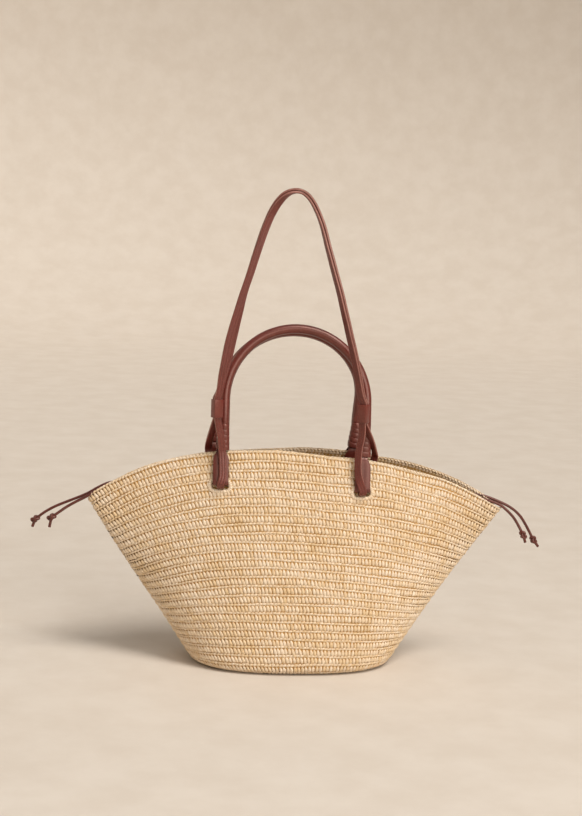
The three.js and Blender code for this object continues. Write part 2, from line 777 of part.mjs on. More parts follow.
function strapGeometry() {
  const stations = strapStations();
  const path = new THREE.CatmullRomCurve3(stations.map(({ place }) => place), true, "catmullrom", 0.5);
  const faces = new THREE.CatmullRomCurve3(stations.map(({ normal }) => normal), true, "catmullrom", 0.5);
  const count = stations.length * STRAP_PER_ROW;
  const rings = [];
  for (let i = 0; i < count; i += 1) {
    const place = path.getPoint(i / count);
    const along = path.getTangent(i / count);
    const normal = faces.getPoint(i / count);
    normal.addScaledVector(along, -normal.dot(along)).normalize();
    const wide = along.clone().cross(normal);
    const corner = (w, n) =>
      place
        .clone()
        .addScaledVector(wide, (w * STRAP_WIDTH) / 2)
        .addScaledVector(normal, (n * STRAP_THICKNESS) / 2);
    rings.push([corner(-1, -1), corner(1, -1), corner(1, 1), corner(-1, 1)]);
  }
  return loft(rings, true);
}

add("shoulder_strap", strapGeometry(), "leather");

// Keepers
function rectangle(width, depth, Kind) {
  const outline = new Kind();
  outline.moveTo(-width / 2, -depth / 2);
  outline.lineTo(width / 2, -depth / 2);
  outline.lineTo(width / 2, depth / 2);
  outline.lineTo(-width / 2, depth / 2);
  outline.closePath();
  return outline;
}

function keeperGeometry(keeper) {
  const width = STRAP_WIDTH + 2 * GAP;
  const depth = 2 * STRAP_THICKNESS + 3 * GAP;
  const sleeve = rectangle(width + 2 * KEEPER_WALL, depth + 2 * KEEPER_WALL, THREE.Shape);
  sleeve.holes.push(rectangle(width, depth, THREE.Path));
  const geometry = new THREE.ExtrudeGeometry(sleeve, { depth: KEEPER_HEIGHT, bevelEnabled: false });
  geometry.rotateZ(degToRad(keeper.turn));
  const foot = keeperFoot(keeper);
  geometry.translate(foot.x, foot.y, foot.z);
  return geometry;
}

for (const keeper of KEEPERS) add(keeper.name, keeperGeometry(keeper), "leather");

// Drawcords: each tube stops a gap short of its knot
function cordGeometry(route) {
  const points = cordPoints(route);
  const knot = points.pop();
  const last = points[points.length - 1];
  const stop = knot.clone().sub(last).setLength(KNOT_LENGTH / 2 + GAP);
  points.push(knot.clone().sub(stop));
  const length = new THREE.CatmullRomCurve3(points).getLength();
  const steps = Math.round(length / (CORD_STEP * CORD_DIAMETER));
  return tube(points, CORD_DIAMETER / 2, CORD_SIDES, steps);
}

function knotGeometry(route) {
  const points = cordPoints(route);
  const [last, middle] = points.slice(-2);
  const along = middle.clone().sub(last).normalize();
  const ball = new THREE.SphereGeometry(KNOT_THICKNESS / 2, 10, 6);
  ball.scale(1, KNOT_LENGTH / KNOT_THICKNESS, 1);
  ball.applyQuaternion(new THREE.Quaternion().setFromUnitVectors(new THREE.Vector3(0, 1, 0), along));
  ball.translate(middle.x, middle.y, middle.z);
  const tail = tube([middle, new THREE.Vector3(...route.tail)], CORD_DIAMETER / 2, CORD_SIDES, 2);
  return geometryOf(solid(ball).add(solid(tail)));
}

for (const route of CORD_ROUTES) {
  add(`${route.name}_cord`, cordGeometry(route), "thong");
  add(`${route.name}_knot`, knotGeometry(route), "thong");
}

export default bag;
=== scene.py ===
import math

import bmesh
import bpy
import numpy as np
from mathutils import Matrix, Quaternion, Vector


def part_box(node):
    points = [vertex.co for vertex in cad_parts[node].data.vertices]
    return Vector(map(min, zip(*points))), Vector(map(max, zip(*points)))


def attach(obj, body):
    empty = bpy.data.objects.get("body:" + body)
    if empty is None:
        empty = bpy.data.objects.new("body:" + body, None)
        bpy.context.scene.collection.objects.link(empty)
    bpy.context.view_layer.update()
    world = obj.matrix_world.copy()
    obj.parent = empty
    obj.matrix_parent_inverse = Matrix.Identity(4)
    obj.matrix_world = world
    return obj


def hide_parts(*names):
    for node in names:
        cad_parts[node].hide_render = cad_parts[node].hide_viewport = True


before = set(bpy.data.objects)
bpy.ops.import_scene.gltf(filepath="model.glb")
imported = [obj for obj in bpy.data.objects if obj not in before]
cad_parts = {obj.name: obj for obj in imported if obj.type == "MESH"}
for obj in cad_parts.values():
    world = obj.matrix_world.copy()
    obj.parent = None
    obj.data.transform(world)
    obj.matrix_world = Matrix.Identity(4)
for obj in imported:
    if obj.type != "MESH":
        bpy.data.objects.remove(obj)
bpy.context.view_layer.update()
bpy.ops.object.select_all(action="DESELECT")
MM = 0.001

# Camera: a product shot from a little left of the bag's middle and just above its rim, with the
# camera turned slightly anticlockwise.
CAMERA_PLACE = Vector((-0.207, -1.889, 0.570))
CAMERA_AIM = Vector((0.1034, 0.9841, -0.1444))
CAMERA_ROLL = math.radians(2.2)

bpy.ops.object.camera_add(location=CAMERA_PLACE)
camera = bpy.context.object
camera.data.lens = 74.6
camera.data.clip_end = 30
camera.rotation_mode = "QUATERNION"
camera.rotation_quaternion = CAMERA_AIM.to_track_quat("-Z", "Y") @ Quaternion((0, 0, 1), CAMERA_ROLL)
bpy.context.scene.camera = camera

# Drawcords: two dark round thongs run in the hem of the mouth, and each comes out at both of the
# mouth's points, hangs over them and ends in an overhand knot with a short cut tail.
CORD_RADIUS = 1.6 * MM
KNOT_REACH = 4.3 * MM
KNOT_SPREAD = 3 * MM
KNOT_RISE = 2.1 * MM
CORD_ROUTES = {
    "left_back": (
        [(-194, 8.8, 201.5), (-203, 6.6, 202.6), (-213, 4.3, 201.6), (-223.4, 3, 197),
         (-237.5, 2.5, 188.8), (-256.1, 2.6, 180.8), (-271, 2.8, 174.3), (-282.2, 2.6, 168),
         (-294, 2, 159.2)],
        (-297, 1, 150.5),
    ),
    "left_front": (
        [(-194, -8.8, 199.5), (-203, -6.6, 200.6), (-213, -4.5, 199.6), (-223.4, -3.3, 195.6),
         (-237.4, -2.8, 186.8), (-248.4, -3.4, 181), (-258.8, -4.4, 175), (-266, -6, 170),
         (-275.4, -7.6, 163.6)],
        (-277.6, -8.6, 152.4),
    ),
    "right_back": (
        [(192, 9.2, 195.6), (203, 6.6, 196.4), (213, 4.4, 196), (222, 3.1, 194.4),
         (238.3, 2.5, 188.6), (252.3, 2.4, 181.8), (262.9, 2.3, 173.4), (270.6, 2.2, 163),
         (281.5, 2, 144.1)],
        (287.6, 2, 136),
    ),
    "right_front": (
        [(192, -9.2, 193), (203, -6.6, 194), (213, -4.6, 193.6), (222, -3.4, 191.6),
         (237.4, -2.9, 186.2), (246, -3.7, 180.2), (254.4, -4.6, 172), (260.4, -5.4, 163.2),
         (266.8, -7.1, 151.6)],
        (269.7, -8, 142.8),
    ),
}


def linear(code):
    """An sRGB hex colour as linear values."""
    parts = [int(code[i : i + 2], 16) / 255 for i in (1, 3, 5)]
    return (*[p / 12.92 if p <= 0.04045 else ((p + 0.055) / 1.055) ** 2.4 for p in parts], 1)


def add_node(material, kind, inputs=(), **settings):
    """A new node with its settings, its input values, and links where a value is a socket."""
    made = material.node_tree.nodes.new(kind)
    for name, value in settings.items():
        setattr(made, name, value)
    for name, value in dict(inputs).items():
        if isinstance(value, bpy.types.NodeSocket):
            material.node_tree.links.new(value, made.inputs[name])
        else:
            made.inputs[name].default_value = value
    return made


def new_material(name):
    """A material and its surface shader."""
    material = bpy.data.materials.new(name)
    material.use_nodes = True
    return material, material.node_tree.nodes["Principled BSDF"]


# Bridle leather: vegetable-tanned cowhide, drum-dyed oxblood and waxed. Its pale fleck colour is a painted
# sheen for the light the wax reflects, laid in fine flecks all over; the dye sits unevenly, darker in cloudy
# patches.
def leather(name, hide, shade, painted_sheen, roughness, grain):
    """Smooth leather. grain is the pebble's size in millimetres, drawn coarse so that it shows."""
    material, shader = new_material(name)
    place = add_node(material, "ShaderNodeTexCoord").outputs["Object"]
    cloud = add_node(
        material, "ShaderNodeTexNoise", {"Vector": place, "Scale": 1 / (14 * MM), "Detail": 3.0}
    )
    fleck = add_node(
        material,
        "ShaderNodeTexNoise",
        {"Vector": place, "Scale": 1 / (grain * MM), "Detail": 4.0, "Roughness": 0.62},
    )
    tone = add_node(
        material,
        "ShaderNodeMix",
        {0: cloud.outputs["Fac"], 6: linear(shade), 7: linear(hide)},
        data_type="RGBA",
    )
    # Painted sheen: the pale colour is mixed in over fine random flecks, standing in for reflected light.
    sheen_share = add_node(
        material,
        "ShaderNodeMapRange",
        {"Value": fleck.outputs["Fac"], "From Min": 0.45, "From Max": 0.75, "To Min": 0.0, "To Max": 0.3},
    )
    waxed = add_node(
        material,
        "ShaderNodeMix",
        {0: sheen_share.outputs["Result"], 6: tone.outputs[2], 7: linear(painted_sheen)},
        data_type="RGBA",
    )
    gloss = add_node(
        material,
        "ShaderNodeMapRange",
        {
            "Value": fleck.outputs["Fac"],
            "From Min": 0.3,
            "From Max": 0.7,
            "To Min": roughness - 0.06,
            "To Max": roughness + 0.08,
        },
    )
    pebble = add_node(
        material,
        "ShaderNodeTexVoronoi",
        {"Vector": place, "Scale": 1 / (grain * MM), "Smoothness": 0.6},
        feature="SMOOTH_F1",
    )
    crease = add_node(
        material,
        "ShaderNodeBump",
        {"Height": pebble.outputs["Distance"], "Strength": 0.22, "Distance": 0.1 * MM},
        invert=True,
    )
    material.node_tree.links.new(waxed.outputs[2], shader.inputs["Base Color"])
    material.node_tree.links.new(gloss.outputs["Result"], shader.inputs["Roughness"])
    material.node_tree.links.new(crease.outputs["Normal"], shader.inputs["Normal"])
    shader.inputs["IOR"].default_value = 1.5
    shader.inputs["Specular IOR Level"].default_value = 1.0
    shader.inputs["Specular Tint"].default_value = linear("#ffded2")
    return material


thong_leather = leather("waxed thong leather", "#5a1c15", "#38100b", "#84493f", 0.4, 1.2)


def sweep(name, path, side, out, outline, closed=False):
    """A skin along a path: outline is across the path, in shares of side and out at each point."""
    path, side, out = (np.asarray(rows, dtype=float) for rows in (path, side, out))
    outline = np.asarray(outline, dtype=float)
    if outline.ndim == 2:
        outline = np.repeat(outline[None], len(path), 0)
    rings = path[:, None] + outline[..., :1] * side[:, None] + outline[..., 1:] * out[:, None]
    rows, count = rings.shape[:2]
    bands = np.arange(rows if closed else rows - 1)
    turn = np.arange(count)
    here, there = bands[:, None] * count, (bands[:, None] + 1) % rows * count
    quads = np.stack([here + turn, here + (turn + 1) % count, there + (turn + 1) % count, there + turn], -1)
    mesh = bpy.data.meshes.new(name)
    ends = [] if closed else [list(range(count)), list(range((rows - 1) * count, rows * count))]
    mesh.from_pydata(rings.reshape(-1, 3).tolist(), [], quads.reshape(-1, 4).tolist() + ends)
    mesh.polygons.foreach_set("use_smooth", [True] * len(quads.reshape(-1, 4)) + [False] * len(ends))
    piece = bpy.data.objects.new(name, mesh)
    bpy.context.scene.collection.objects.link(piece)
    face_outwards(piece)
    return piece


def face_outwards(piece):
    """Turns every face of a closed mesh to point outwards."""
    work = bmesh.new()
    work.from_mesh(piece.data)
    bmesh.ops.recalc_face_normals(work, faces=work.faces)
    work.to_mesh(piece.data)
    work.free()


def circle(sides):
    turns = np.arange(sides) / sides * 2 * math.pi
    return np.stack([np.cos(turns), np.sin(turns)], -1)


def smooth_route(points, per_span):
    """A curve that passes through the points, as many steps to each span."""
    points = np.asarray(points, dtype=float)
    padded = np.vstack([2 * points[0] - points[1], points, 2 * points[-1] - points[-2]])
    route = []
    for a, b, c, d in zip(padded, padded[1:], padded[2:], padded[3:]):
        square, cube = 2 * a - 5 * b + 4 * c - d, 3 * b - a - 3 * c + d
        for t in np.arange(per_span) / per_span:
            route.append(0.5 * (2 * b + (c - a) * t + square * t**2 + cube * t**3))
    return np.array(route + [points[-1]])


def carried_frames(path, closed=False):
    """Two directions across a path at each of its points, carried along it without twisting."""
    along = np.gradient(path, axis=0)
    if closed:
        along = np.roll(path, -1, 0) - np.roll(path, 1, 0)
    along /= np.linalg.norm(along, axis=1)[:, None]
    side = [np.cross(along[0], (0.3, 0.2, 1))]
    for forward in along[1:]:
        side.append(side[-1] - forward * side[-1].dot(forward))
    side = np.array(side)
    side /= np.linalg.norm(side, axis=1)[:, None]
    return side, np.cross(along, side)


for name, (points, tail) in CORD_ROUTES.items():
    points, tail = np.array(points) * MM, np.array(tail) * MM
    knot_middle = points[-1]
    along = points[-1] - points[-2]
    along /= np.linalg.norm(along)
    route = smooth_route(np.vstack([points[:-1], knot_middle - along * KNOT_REACH * 0.6]), 4)
    line = bpy.data.curves.new(name + "_cord_thong", "CURVE")
    line.dimensions = "3D"
    line.bevel_depth = CORD_RADIUS
    line.bevel_resolution = 4
    line.use_fill_caps = True
    spline = line.splines.new("POLY")
    spline.points.add(len(route) - 1)
    spline.points.foreach_set("co", np.hstack([route, np.ones((len(route), 1))]).ravel())
    spline.use_smooth = True
    thong = bpy.data.objects.new(name + "_cord_thong", line)
    bpy.context.scene.collection.objects.link(thong)
    line.materials.append(thong_leather)

    turn = np.arange(56) / 56 * 2 * math.pi
    across, rise = carried_frames(np.array([knot_middle, knot_middle + along]))
    knot_path = (
        knot_middle
        + along * (KNOT_REACH * (np.sin(turn) + 2 * np.sin(2 * turn)) / 3)[:, None]
        + across[0] * (KNOT_SPREAD * (np.cos(turn) - 2 * np.cos(2 * turn)) / 3)[:, None]
        - rise[0] * (KNOT_RISE * np.sin(3 * turn))[:, None]
    )
    side, out = carried_frames(knot_path, closed=True)
    knot = sweep(name + "_knot_turns", knot_path, side, out, circle(10) * CORD_RADIUS, closed=True)
    end_path = smooth_route([knot_middle, knot_middle * 0.45 + tail * 0.55 + (0, -0.6 * MM, 0), tail], 5)
    side, out = carried_frames(end_path)
    end = sweep(name + "_knot_tail", end_path, side, out, circle(12) * CORD_RADIUS)
    for piece in (knot, end):
        piece.data.materials.append(thong_leather)
        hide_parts(name + "_knot")
    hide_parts(name + "_cord")
    for piece in (thong, knot, end):
        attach(piece, "root")

# Basket: raffia crocheted in rounds, from an oval base up to a mouth that is pinched to a point at
# each end. Every round is a row of fat upright posts with a chain of loops lying along their tops,
# worked over a ground of crossed strands that shows as dark holes between the posts; the ground's
# colour is darkened as painted shade.
BASE_LENGTH = 226
BASE_DEPTH = 150
BASE_EDGE = 13
MOUTH_LENGTH = 475
MOUTH_DEPTH = 70
POINT_HEIGHT = 184
RIM_ARCH = 65
RIM_PEAK = -0.1
RIGHT_POINT = 4.2
POINT_INSET = 2.2
FOLD_RADIUS = 1.4
FOLD_REACH = 12
EDGE_ROUNDS = 2
WALL_ROUNDS = 24
BASE_ROUNDS = 6
ROUND_HEIGHT = 9.6
STITCH = 4.1
WALL = 3
HEM = 6
HEM_DROP = 14
straw = np.random.default_rng(26)


def mix(a, b, t):
    return a + (b - a) * t


def arch(level, x):
    """How high the skin is at a level from 0 at the base to 1 at the rim, in millimetres."""
    across = np.clip(2 * x / mix(BASE_LENGTH, MOUTH_LENGTH, level), -1, 1)
    left = across < RIM_PEAK
    fall = ((across - RIM_PEAK) / (np.where(left, -1, 1) - RIM_PEAK)) ** np.where(left, 2.6, 2.1)
    return level * (POINT_HEIGHT + RIM_ARCH * (1 - fall))


# The soft rim sags and lifts a little off the even arch: places along each panel, and how far
EASE_AT = (-237, -200, -171, -122, -60, -27, -4, 12, 36, 60, 100, 136, 168, 196, 222, 237)
FRONT_EASE = (2.5, 0.7, 0.9, 0.4, 0, 0, -1.7, -2.4, -3.5, -2.3, 0, 0.4, 2.6, 1, -1, -2.5)
BACK_EASE = (2.5, -2.5, -5.5, -8, -10, -9, -6.8, -5, -4, -2.2, -0.4, 3.6, 5.6, 5.4, 3.4, -2.5)


def height(level, x, face):
    """The height of the skin on the front panel, with face -1, or the back one, with face 1."""
    front, back = np.interp(x, EASE_AT, FRONT_EASE), np.interp(x, EASE_AT, BACK_EASE)
    return arch(level, x) + np.where(np.asarray(face) < 0, front, back) * level**2


def section(level, inset):
    """Half the length and depth of the skin at a level, and how sharp its ends and sides are."""
    pinch = level**1.3
    length = mix(BASE_LENGTH, MOUTH_LENGTH, level) / 2 - inset * mix(1, POINT_INSET, pinch)
    depth = mix(BASE_DEPTH, MOUTH_DEPTH, level**1.5) / 2 - inset
    return length, depth, mix(0.8, 1, pinch), mix(0.8, 2, pinch)


def wall(level, angle, inset):
    """The skin at a level, all round."""
    length, depth, end_power, side_power = section(level, inset)
    c, s = np.cos(angle), np.sin(angle)
    x = length * np.sign(c) * np.abs(c) ** end_power
    fold = math.sqrt(2 * FOLD_RADIUS * length) * np.exp(-length * (1 - np.abs(c)) / FOLD_REACH)
    y = depth * np.abs(s) ** side_power + fold * np.abs(s) * level**1.3 * max(0, 1 - inset / WALL)
    x = x + RIGHT_POINT * level * np.clip(c, 0, 1) ** 4
    return np.stack([x, y * np.sign(s), height(level, x, s)], -1)


def skin(row, angle, inset=0):
    """The basket's skin by rounds: under 0 is the base, then the rounded edge, then the wall."""
    edge_level = BASE_EDGE / math.hypot(POINT_HEIGHT, (MOUTH_LENGTH - BASE_LENGTH) / 2)
    if row >= EDGE_ROUNDS:
        return wall(mix(edge_level, 1, (row - EDGE_ROUNDS) / WALL_ROUNDS), angle, inset)
    lift = np.array([0, 0, inset])
    if row <= 0:
        return wall(0, angle, BASE_EDGE - row * ROUND_HEIGHT) + lift
    t = row / EDGE_ROUNDS
    flat = wall(0, angle, BASE_EDGE) + lift
    bend = wall(0, angle, inset) + lift
    return (1 - t) ** 2 * flat + 2 * t * (1 - t) * bend + t**2 * wall(edge_level, angle, inset)


# One post, in five widths from its foot to its tucked-in head: how high, how wide, how deep its
# crest lies under the skin, and how far its head leans back
POST = [(-0.03, 0.7, 1.2), (0.09, 1.0, 0.25), (0.3, 1.06, 0), (0.52, 0.84, 0.35), (0.72, 0.36, 1.5)]
POST_BOW = [(-1, 1), (-0.78, 0.26), (0, 0), (0.78, 0.26), (1, 1)]
POST_LEAN = 0.4
# One loop of the chain, tilted so that it tucks under the next: place along, half height, crest
LOOP = [(-0.62, 0.07, 1.5), (-0.32, 0.13, 0.65), (0.05, 0.145, 0.4), (0.36, 0.125, 0.6)]
LOOP += [(0.64, 0.06, 1.5)]
LOOP_HEIGHT = 0.85
LOOP_TILT = 0.05


def closed_shape(rings, count):
    """The faces of a closed skin through so many rings of so many points."""
    faces = []
    for ring in range(rings - 1):
        for i in range(count):
            j = (i + 1) % count
            here, there = ring * count, (ring + 1) * count
            faces.append((here + i, here + j, there + j, there + i))
    last = (rings - 1) * count
    faces += [(3, 2, 1, 0), (4, 3, 0, 0)]
    faces += [(last, last + 1, last + 2, last + 3), (last, last + 3, last + 4, last)]
    return np.array(faces)


def post_points(count, depth):
    """Posts as (along, up, deep) points: along in stitches, up in rounds, deep in millimetres."""
    lean = POST_LEAN + straw.normal(0, 0.07, (count, 1, 1))
    wide = 0.5 * (1 + straw.normal(0, 0.05, (count, 1, 1)))
    crest = straw.uniform(0, 0.35, (count, 1, 1))
    up = np.array([row[0] for row in POST])[None, :, None] + straw.normal(0, 0.012, (count, 1, 1))
    width = np.array([row[1] for row in POST])[None, :, None]
    deep = np.array([row[2] for row in POST])[None, :, None] + crest
    bow = np.array([b[0] for b in POST_BOW])[None, None]
    sink = np.array([b[1] for b in POST_BOW])[None, None]
    along = lean * (0.35 - up) + bow * width * wide
    return along, up + 0 * along, deep + (depth - deep) * sink


def loop_points(count, depth):
    """Loops of the chain, as post_points gives posts."""
    tilt = LOOP_TILT + straw.normal(0, 0.012, (count, 1, 1))
    lift = straw.normal(0, 0.012, (count, 1, 1))
    crest = straw.uniform(0, 0.3, (count, 1, 1))
    place = np.array([row[0] for row in LOOP])[None, :, None]
    half = np.array([row[1] for row in LOOP])[None, :, None]
    deep = np.array([row[2] for row in LOOP])[None, :, None] + crest
    bow = np.array([b[0] for b in POST_BOW])[None, None]
    sink = np.array([b[1] for b in POST_BOW])[None, None]
    up = LOOP_HEIGHT + lift + tilt * place * 1.6 + bow * half
    return place + 0 * up, up, deep + (depth - deep) * sink


EYELET_HALF = 9.7
EYELET_ROUND = 4.5
EYELET_DROP = 33
handle_box = {panel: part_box(panel + "_handle") for panel in ("front", "back")}
HANDLE_RADIUS = 5.25 * MM
eyelets = []
for panel, face in (("front", -1), ("back", 1)):
    low, high = handle_box[panel]
    for side, leg in ((-1, low[0] + HANDLE_RADIUS), (1, high[0] - HANDLE_RADIUS)):
        x = leg / MM - 3
        rim = float(arch(1, np.array(x)))
        eyelets.append((x, rim - EYELET_DROP - EYELET_ROUND, face, side))


def clear_of_eyelets(points, margin):
    """Pushes points that are inside an eyelet out to its edge, and says which were inside."""
    inside = np.zeros(points.shape[:-1], bool)
    for x, z, face, _ in eyelets:
        over = points[..., 0] - x
        core = np.clip(over, EYELET_ROUND - EYELET_HALF, EYELET_HALF - EYELET_ROUND)
        dx, dz = over - core, points[..., 2] - z
        away = np.hypot(dx, dz)
        hit = (away < EYELET_ROUND + margin) & (points[..., 1] * face > 0)
        scale = np.where(hit, (EYELET_ROUND + margin) / np.maximum(away, 0.01), 1)
        points[..., 0] = np.where(hit, x + core + dx * scale, points[..., 0])
        points[..., 2] = np.where(hit, z + dz * scale, points[..., 2])
        inside |= hit
    return inside


def lay_round(row, next_row, inset, facing, kinds, ground, fine=1440):
    """One round of stitches on the skin at an inset, facing outwards or inwards, on its ground."""
    angles = np.arange(fine) / fine * 2 * math.pi
    rows = [row, (row + next_row) / 2, next_row]
    curves = [skin(r, angles, inset) for r in rows]
    normals = []
    for r, curve in zip(rows, curves):
        up = skin(r + 0.05, angles, inset) - skin(r - 0.05, angles, inset)
        along = np.roll(curve, -1, 0) - np.roll(curve, 1, 0)
        normal = np.cross(along, up)
        normals.append(facing * normal / np.linalg.norm(normal, axis=1)[:, None])
    gaps = np.linalg.norm(np.roll(curves[1], -1, 0) - curves[1], axis=1)
    places = np.concatenate([[0], np.cumsum(gaps)])
    total = places[-1]
    count = max(6, round(total / STITCH))
    centres = (np.arange(count) + straw.uniform(0, 1) + straw.normal(0, 0.03, count)) * total / count
    wave = 0.07 * np.sin(centres / 37 + row * 0.5) + 0.035 * np.sin(centres / 13 + row * 0.7)
    laid = []
    for kind in kinds:
        along, up, deep = kind(count, ground)
        up = up + wave[:, None, None]
        s = (centres[:, None, None] + along * total / count) % total
        h = up[..., None]

        def at(curve):
            looped = np.vstack([curve, curve[:1]])
            return np.stack([np.interp(s, places, looped[:, axis]) for axis in range(3)], -1)

        low, middle, high = (at(curve) for curve in curves)
        point = low * (1 - h) * (1 - 2 * h) + middle * 4 * h * (1 - h) + high * h * (2 * h - 1)
        low, middle, high = (at(normal) for normal in normals)
        normal = low * (1 - h) * (1 - 2 * h) + middle * 4 * h * (1 - h) + high * h * (2 * h - 1)
        normal /= np.linalg.norm(normal, axis=-1)[..., None]
        moved = point - normal * deep[..., None]
        half = np.sign(point[..., 1])
        moved[..., 1] = np.where(moved[..., 1] * half < 0, 0.1 * half, moved[..., 1])
        middle_point = moved.mean((1, 2))
        drop = clear_of_eyelets(middle_point, 0)
        clear_of_eyelets(moved, 0.8)
        tone = straw.uniform(0, 1, count)
        fibre = np.stack([along * STITCH, up * ROUND_HEIGHT], -1)
        if kind is loop_points:
            fibre = fibre[..., ::-1]
        fibre = fibre + straw.uniform(0, 90, (count, 1, 1, 2))
        keep = ~drop
        laid.append((moved[keep], tone[keep], fibre[keep]))
    return laid


def raffia_piece(name, laid, material):
    """One mesh of many stitches, with a tone for each and the fibre's own run as its UV map."""
    faces_of = closed_shape(len(POST), len(POST_BOW))
    per = len(POST) * len(POST_BOW)
    points = np.concatenate([stitches.reshape(-1, 3) for stitches, _, _ in laid]) * MM
    tones = np.concatenate([np.repeat(tone, per) for _, tone, _ in laid])
    fibres = np.concatenate([fibre.reshape(-1, 2) for _, _, fibre in laid])
    first = points[faces_of[:, :3]] - points[:per].mean(0)
    if np.einsum("ij,ij->i", first[:, 0], np.cross(first[:, 1], first[:, 2])).sum() < 0:
        faces_of = faces_of[:, ::-1]
    count = len(points) // per
    faces = (np.arange(count)[:, None, None] * per + faces_of[None]).reshape(-1, 4)
    mesh = bpy.data.meshes.new(name)
    mesh.from_pydata(points.tolist(), [], [tuple(dict.fromkeys(face)) for face in faces.tolist()])
    mesh.polygons.foreach_set("use_smooth", [True] * len(mesh.polygons))
    mesh.attributes.new("tone", "FLOAT", "POINT").data.foreach_set("value", tones)
    corners = np.empty(len(mesh.loops), dtype=np.int32)
    mesh.loops.foreach_get("vertex_index", corners)
    mesh.uv_layers.new(name="fibre").data.foreach_set("uv", fibres[corners].ravel())
    piece = bpy.data.objects.new(name, mesh)
    bpy.context.scene.collection.objects.link(piece)
    mesh.materials.append(material)
    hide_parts("basket_body")
    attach(piece, "root")
    return piece


# Raffia: dried palm-leaf strip, split thin and left its own straw colour. It is slightly glossy
# along the fibre, and each stitch is a shade paler or more golden than the next. The shadow colour,
# streaked along the fibre where the bump is low, is painted shade in its grooves.
def raffia(name, pale, golden, shadow):
    material, shader = new_material(name)
    run = add_node(material, "ShaderNodeUVMap", uv_map="fibre").outputs["UV"]
    stretch = add_node(material, "ShaderNodeMapping", {"Vector": run, "Scale": (2.2, 0.16, 1)})
    fibre = add_node(
        material, "ShaderNodeTexNoise", {"Vector": stretch.outputs[0], "Scale": 1.0, "Detail": 3.0}
    )
    tone = add_node(material, "ShaderNodeAttribute", attribute_name="tone")
    place = add_node(material, "ShaderNodeTexCoord").outputs["Object"]
    cloud = add_node(
        material, "ShaderNodeTexNoise", {"Vector": place, "Scale": 1 / (45 * MM), "Detail": 2.0}
    )
    own = add_node(
        material,
        "ShaderNodeMapRange",
        {"Value": tone.outputs["Fac"], "From Min": 0.35, "From Max": 1.0, "To Min": 0.0, "To Max": 0.75},
    )
    patch = add_node(
        material,
        "ShaderNodeMapRange",
        {"Value": cloud.outputs["Fac"], "From Min": 0.4, "From Max": 0.7, "To Min": 0.0, "To Max": 0.5},
    )
    both = add_node(
        material, "ShaderNodeMath", {0: own.outputs[0], 1: patch.outputs[0]}, operation="ADD", use_clamp=True
    )
    straw_tone = add_node(
        material, "ShaderNodeMix", {0: both.outputs[0], 6: linear(pale), 7: linear(golden)}, data_type="RGBA"
    )
    # Painted shade: the shadow colour darkens the fibre's grooves, where the ridges' bump is low.
    groove_shade = add_node(
        material,
        "ShaderNodeMapRange",
        {"Value": fibre.outputs["Fac"], "From Min": 0.35, "From Max": 0.62, "To Min": 0.55, "To Max": 0.0},
    )
    groove_shaded = add_node(
        material,
        "ShaderNodeMix",
        {0: groove_shade.outputs[0], 6: straw_tone.outputs[2], 7: linear(shadow)},
        data_type="RGBA",
    )
    ridges = add_node(
        material, "ShaderNodeBump", {"Height": fibre.outputs["Fac"], "Strength": 0.35, "Distance": 0.25 * MM}
    )
    material.node_tree.links.new(groove_shaded.outputs[2], shader.inputs["Base Color"])
    material.node_tree.links.new(ridges.outputs["Normal"], shader.inputs["Normal"])
    shader.inputs["Roughness"].default_value = 0.5
    shader.inputs["IOR"].default_value = 1.46
    shader.inputs["Specular IOR Level"].default_value = 0.35
    return material


straw_raffia = raffia("split raffia palm", "#f3e5cf", "#e6cea7", "#b38550")
# The ground's raffia: darker colours, painted shade for the shadow between the posts.
shaded_ground_raffia = raffia("ground raffia painted with shade", "#c79a58", "#a3763a", "#6e4a20")

TOP = EDGE_ROUNDS + WALL_ROUNDS
HEM_FOOT = TOP - HEM_DROP * WALL_ROUNDS / (POINT_HEIGHT + RIM_ARCH)
OUTER_GROUND = 1.9
INNER_GROUND = 1.0
both_kinds = (post_points, loop_points)


def rounds(first, last, inset, facing, ground):
    laid = []
    for row in range(first, last):
        laid += lay_round(row, row + 1, inset, facing, both_kinds, ground)
    return laid


raffia_piece("base_rounds", rounds(-BASE_ROUNDS, EDGE_ROUNDS, 0, 1, OUTER_GROUND), straw_raffia)
raffia_piece("low_rounds", rounds(2, 10, 0, 1, OUTER_GROUND), straw_raffia)
raffia_piece("middle_rounds", rounds(10, 18, 0, 1, OUTER_GROUND), straw_raffia)
raffia_piece("high_rounds", rounds(18, TOP, 0, 1, OUTER_GROUND), straw_raffia)
raffia_piece("inner_low_rounds", rounds(2, 13, WALL, -1, INNER_GROUND), straw_raffia)
raffia_piece("inner_high_rounds", rounds(13, TOP - 2, WALL, -1, INNER_GROUND), straw_raffia)
hem_middle = (HEM_FOOT + TOP) / 2
hem_rounds = lay_round(HEM_FOOT, hem_middle, HEM, -1, both_kinds, INNER_GROUND)
hem_rounds += lay_round(hem_middle, TOP, HEM, -1, both_kinds, INNER_GROUND)
raffia_piece("hem_rounds", hem_rounds, straw_raffia)


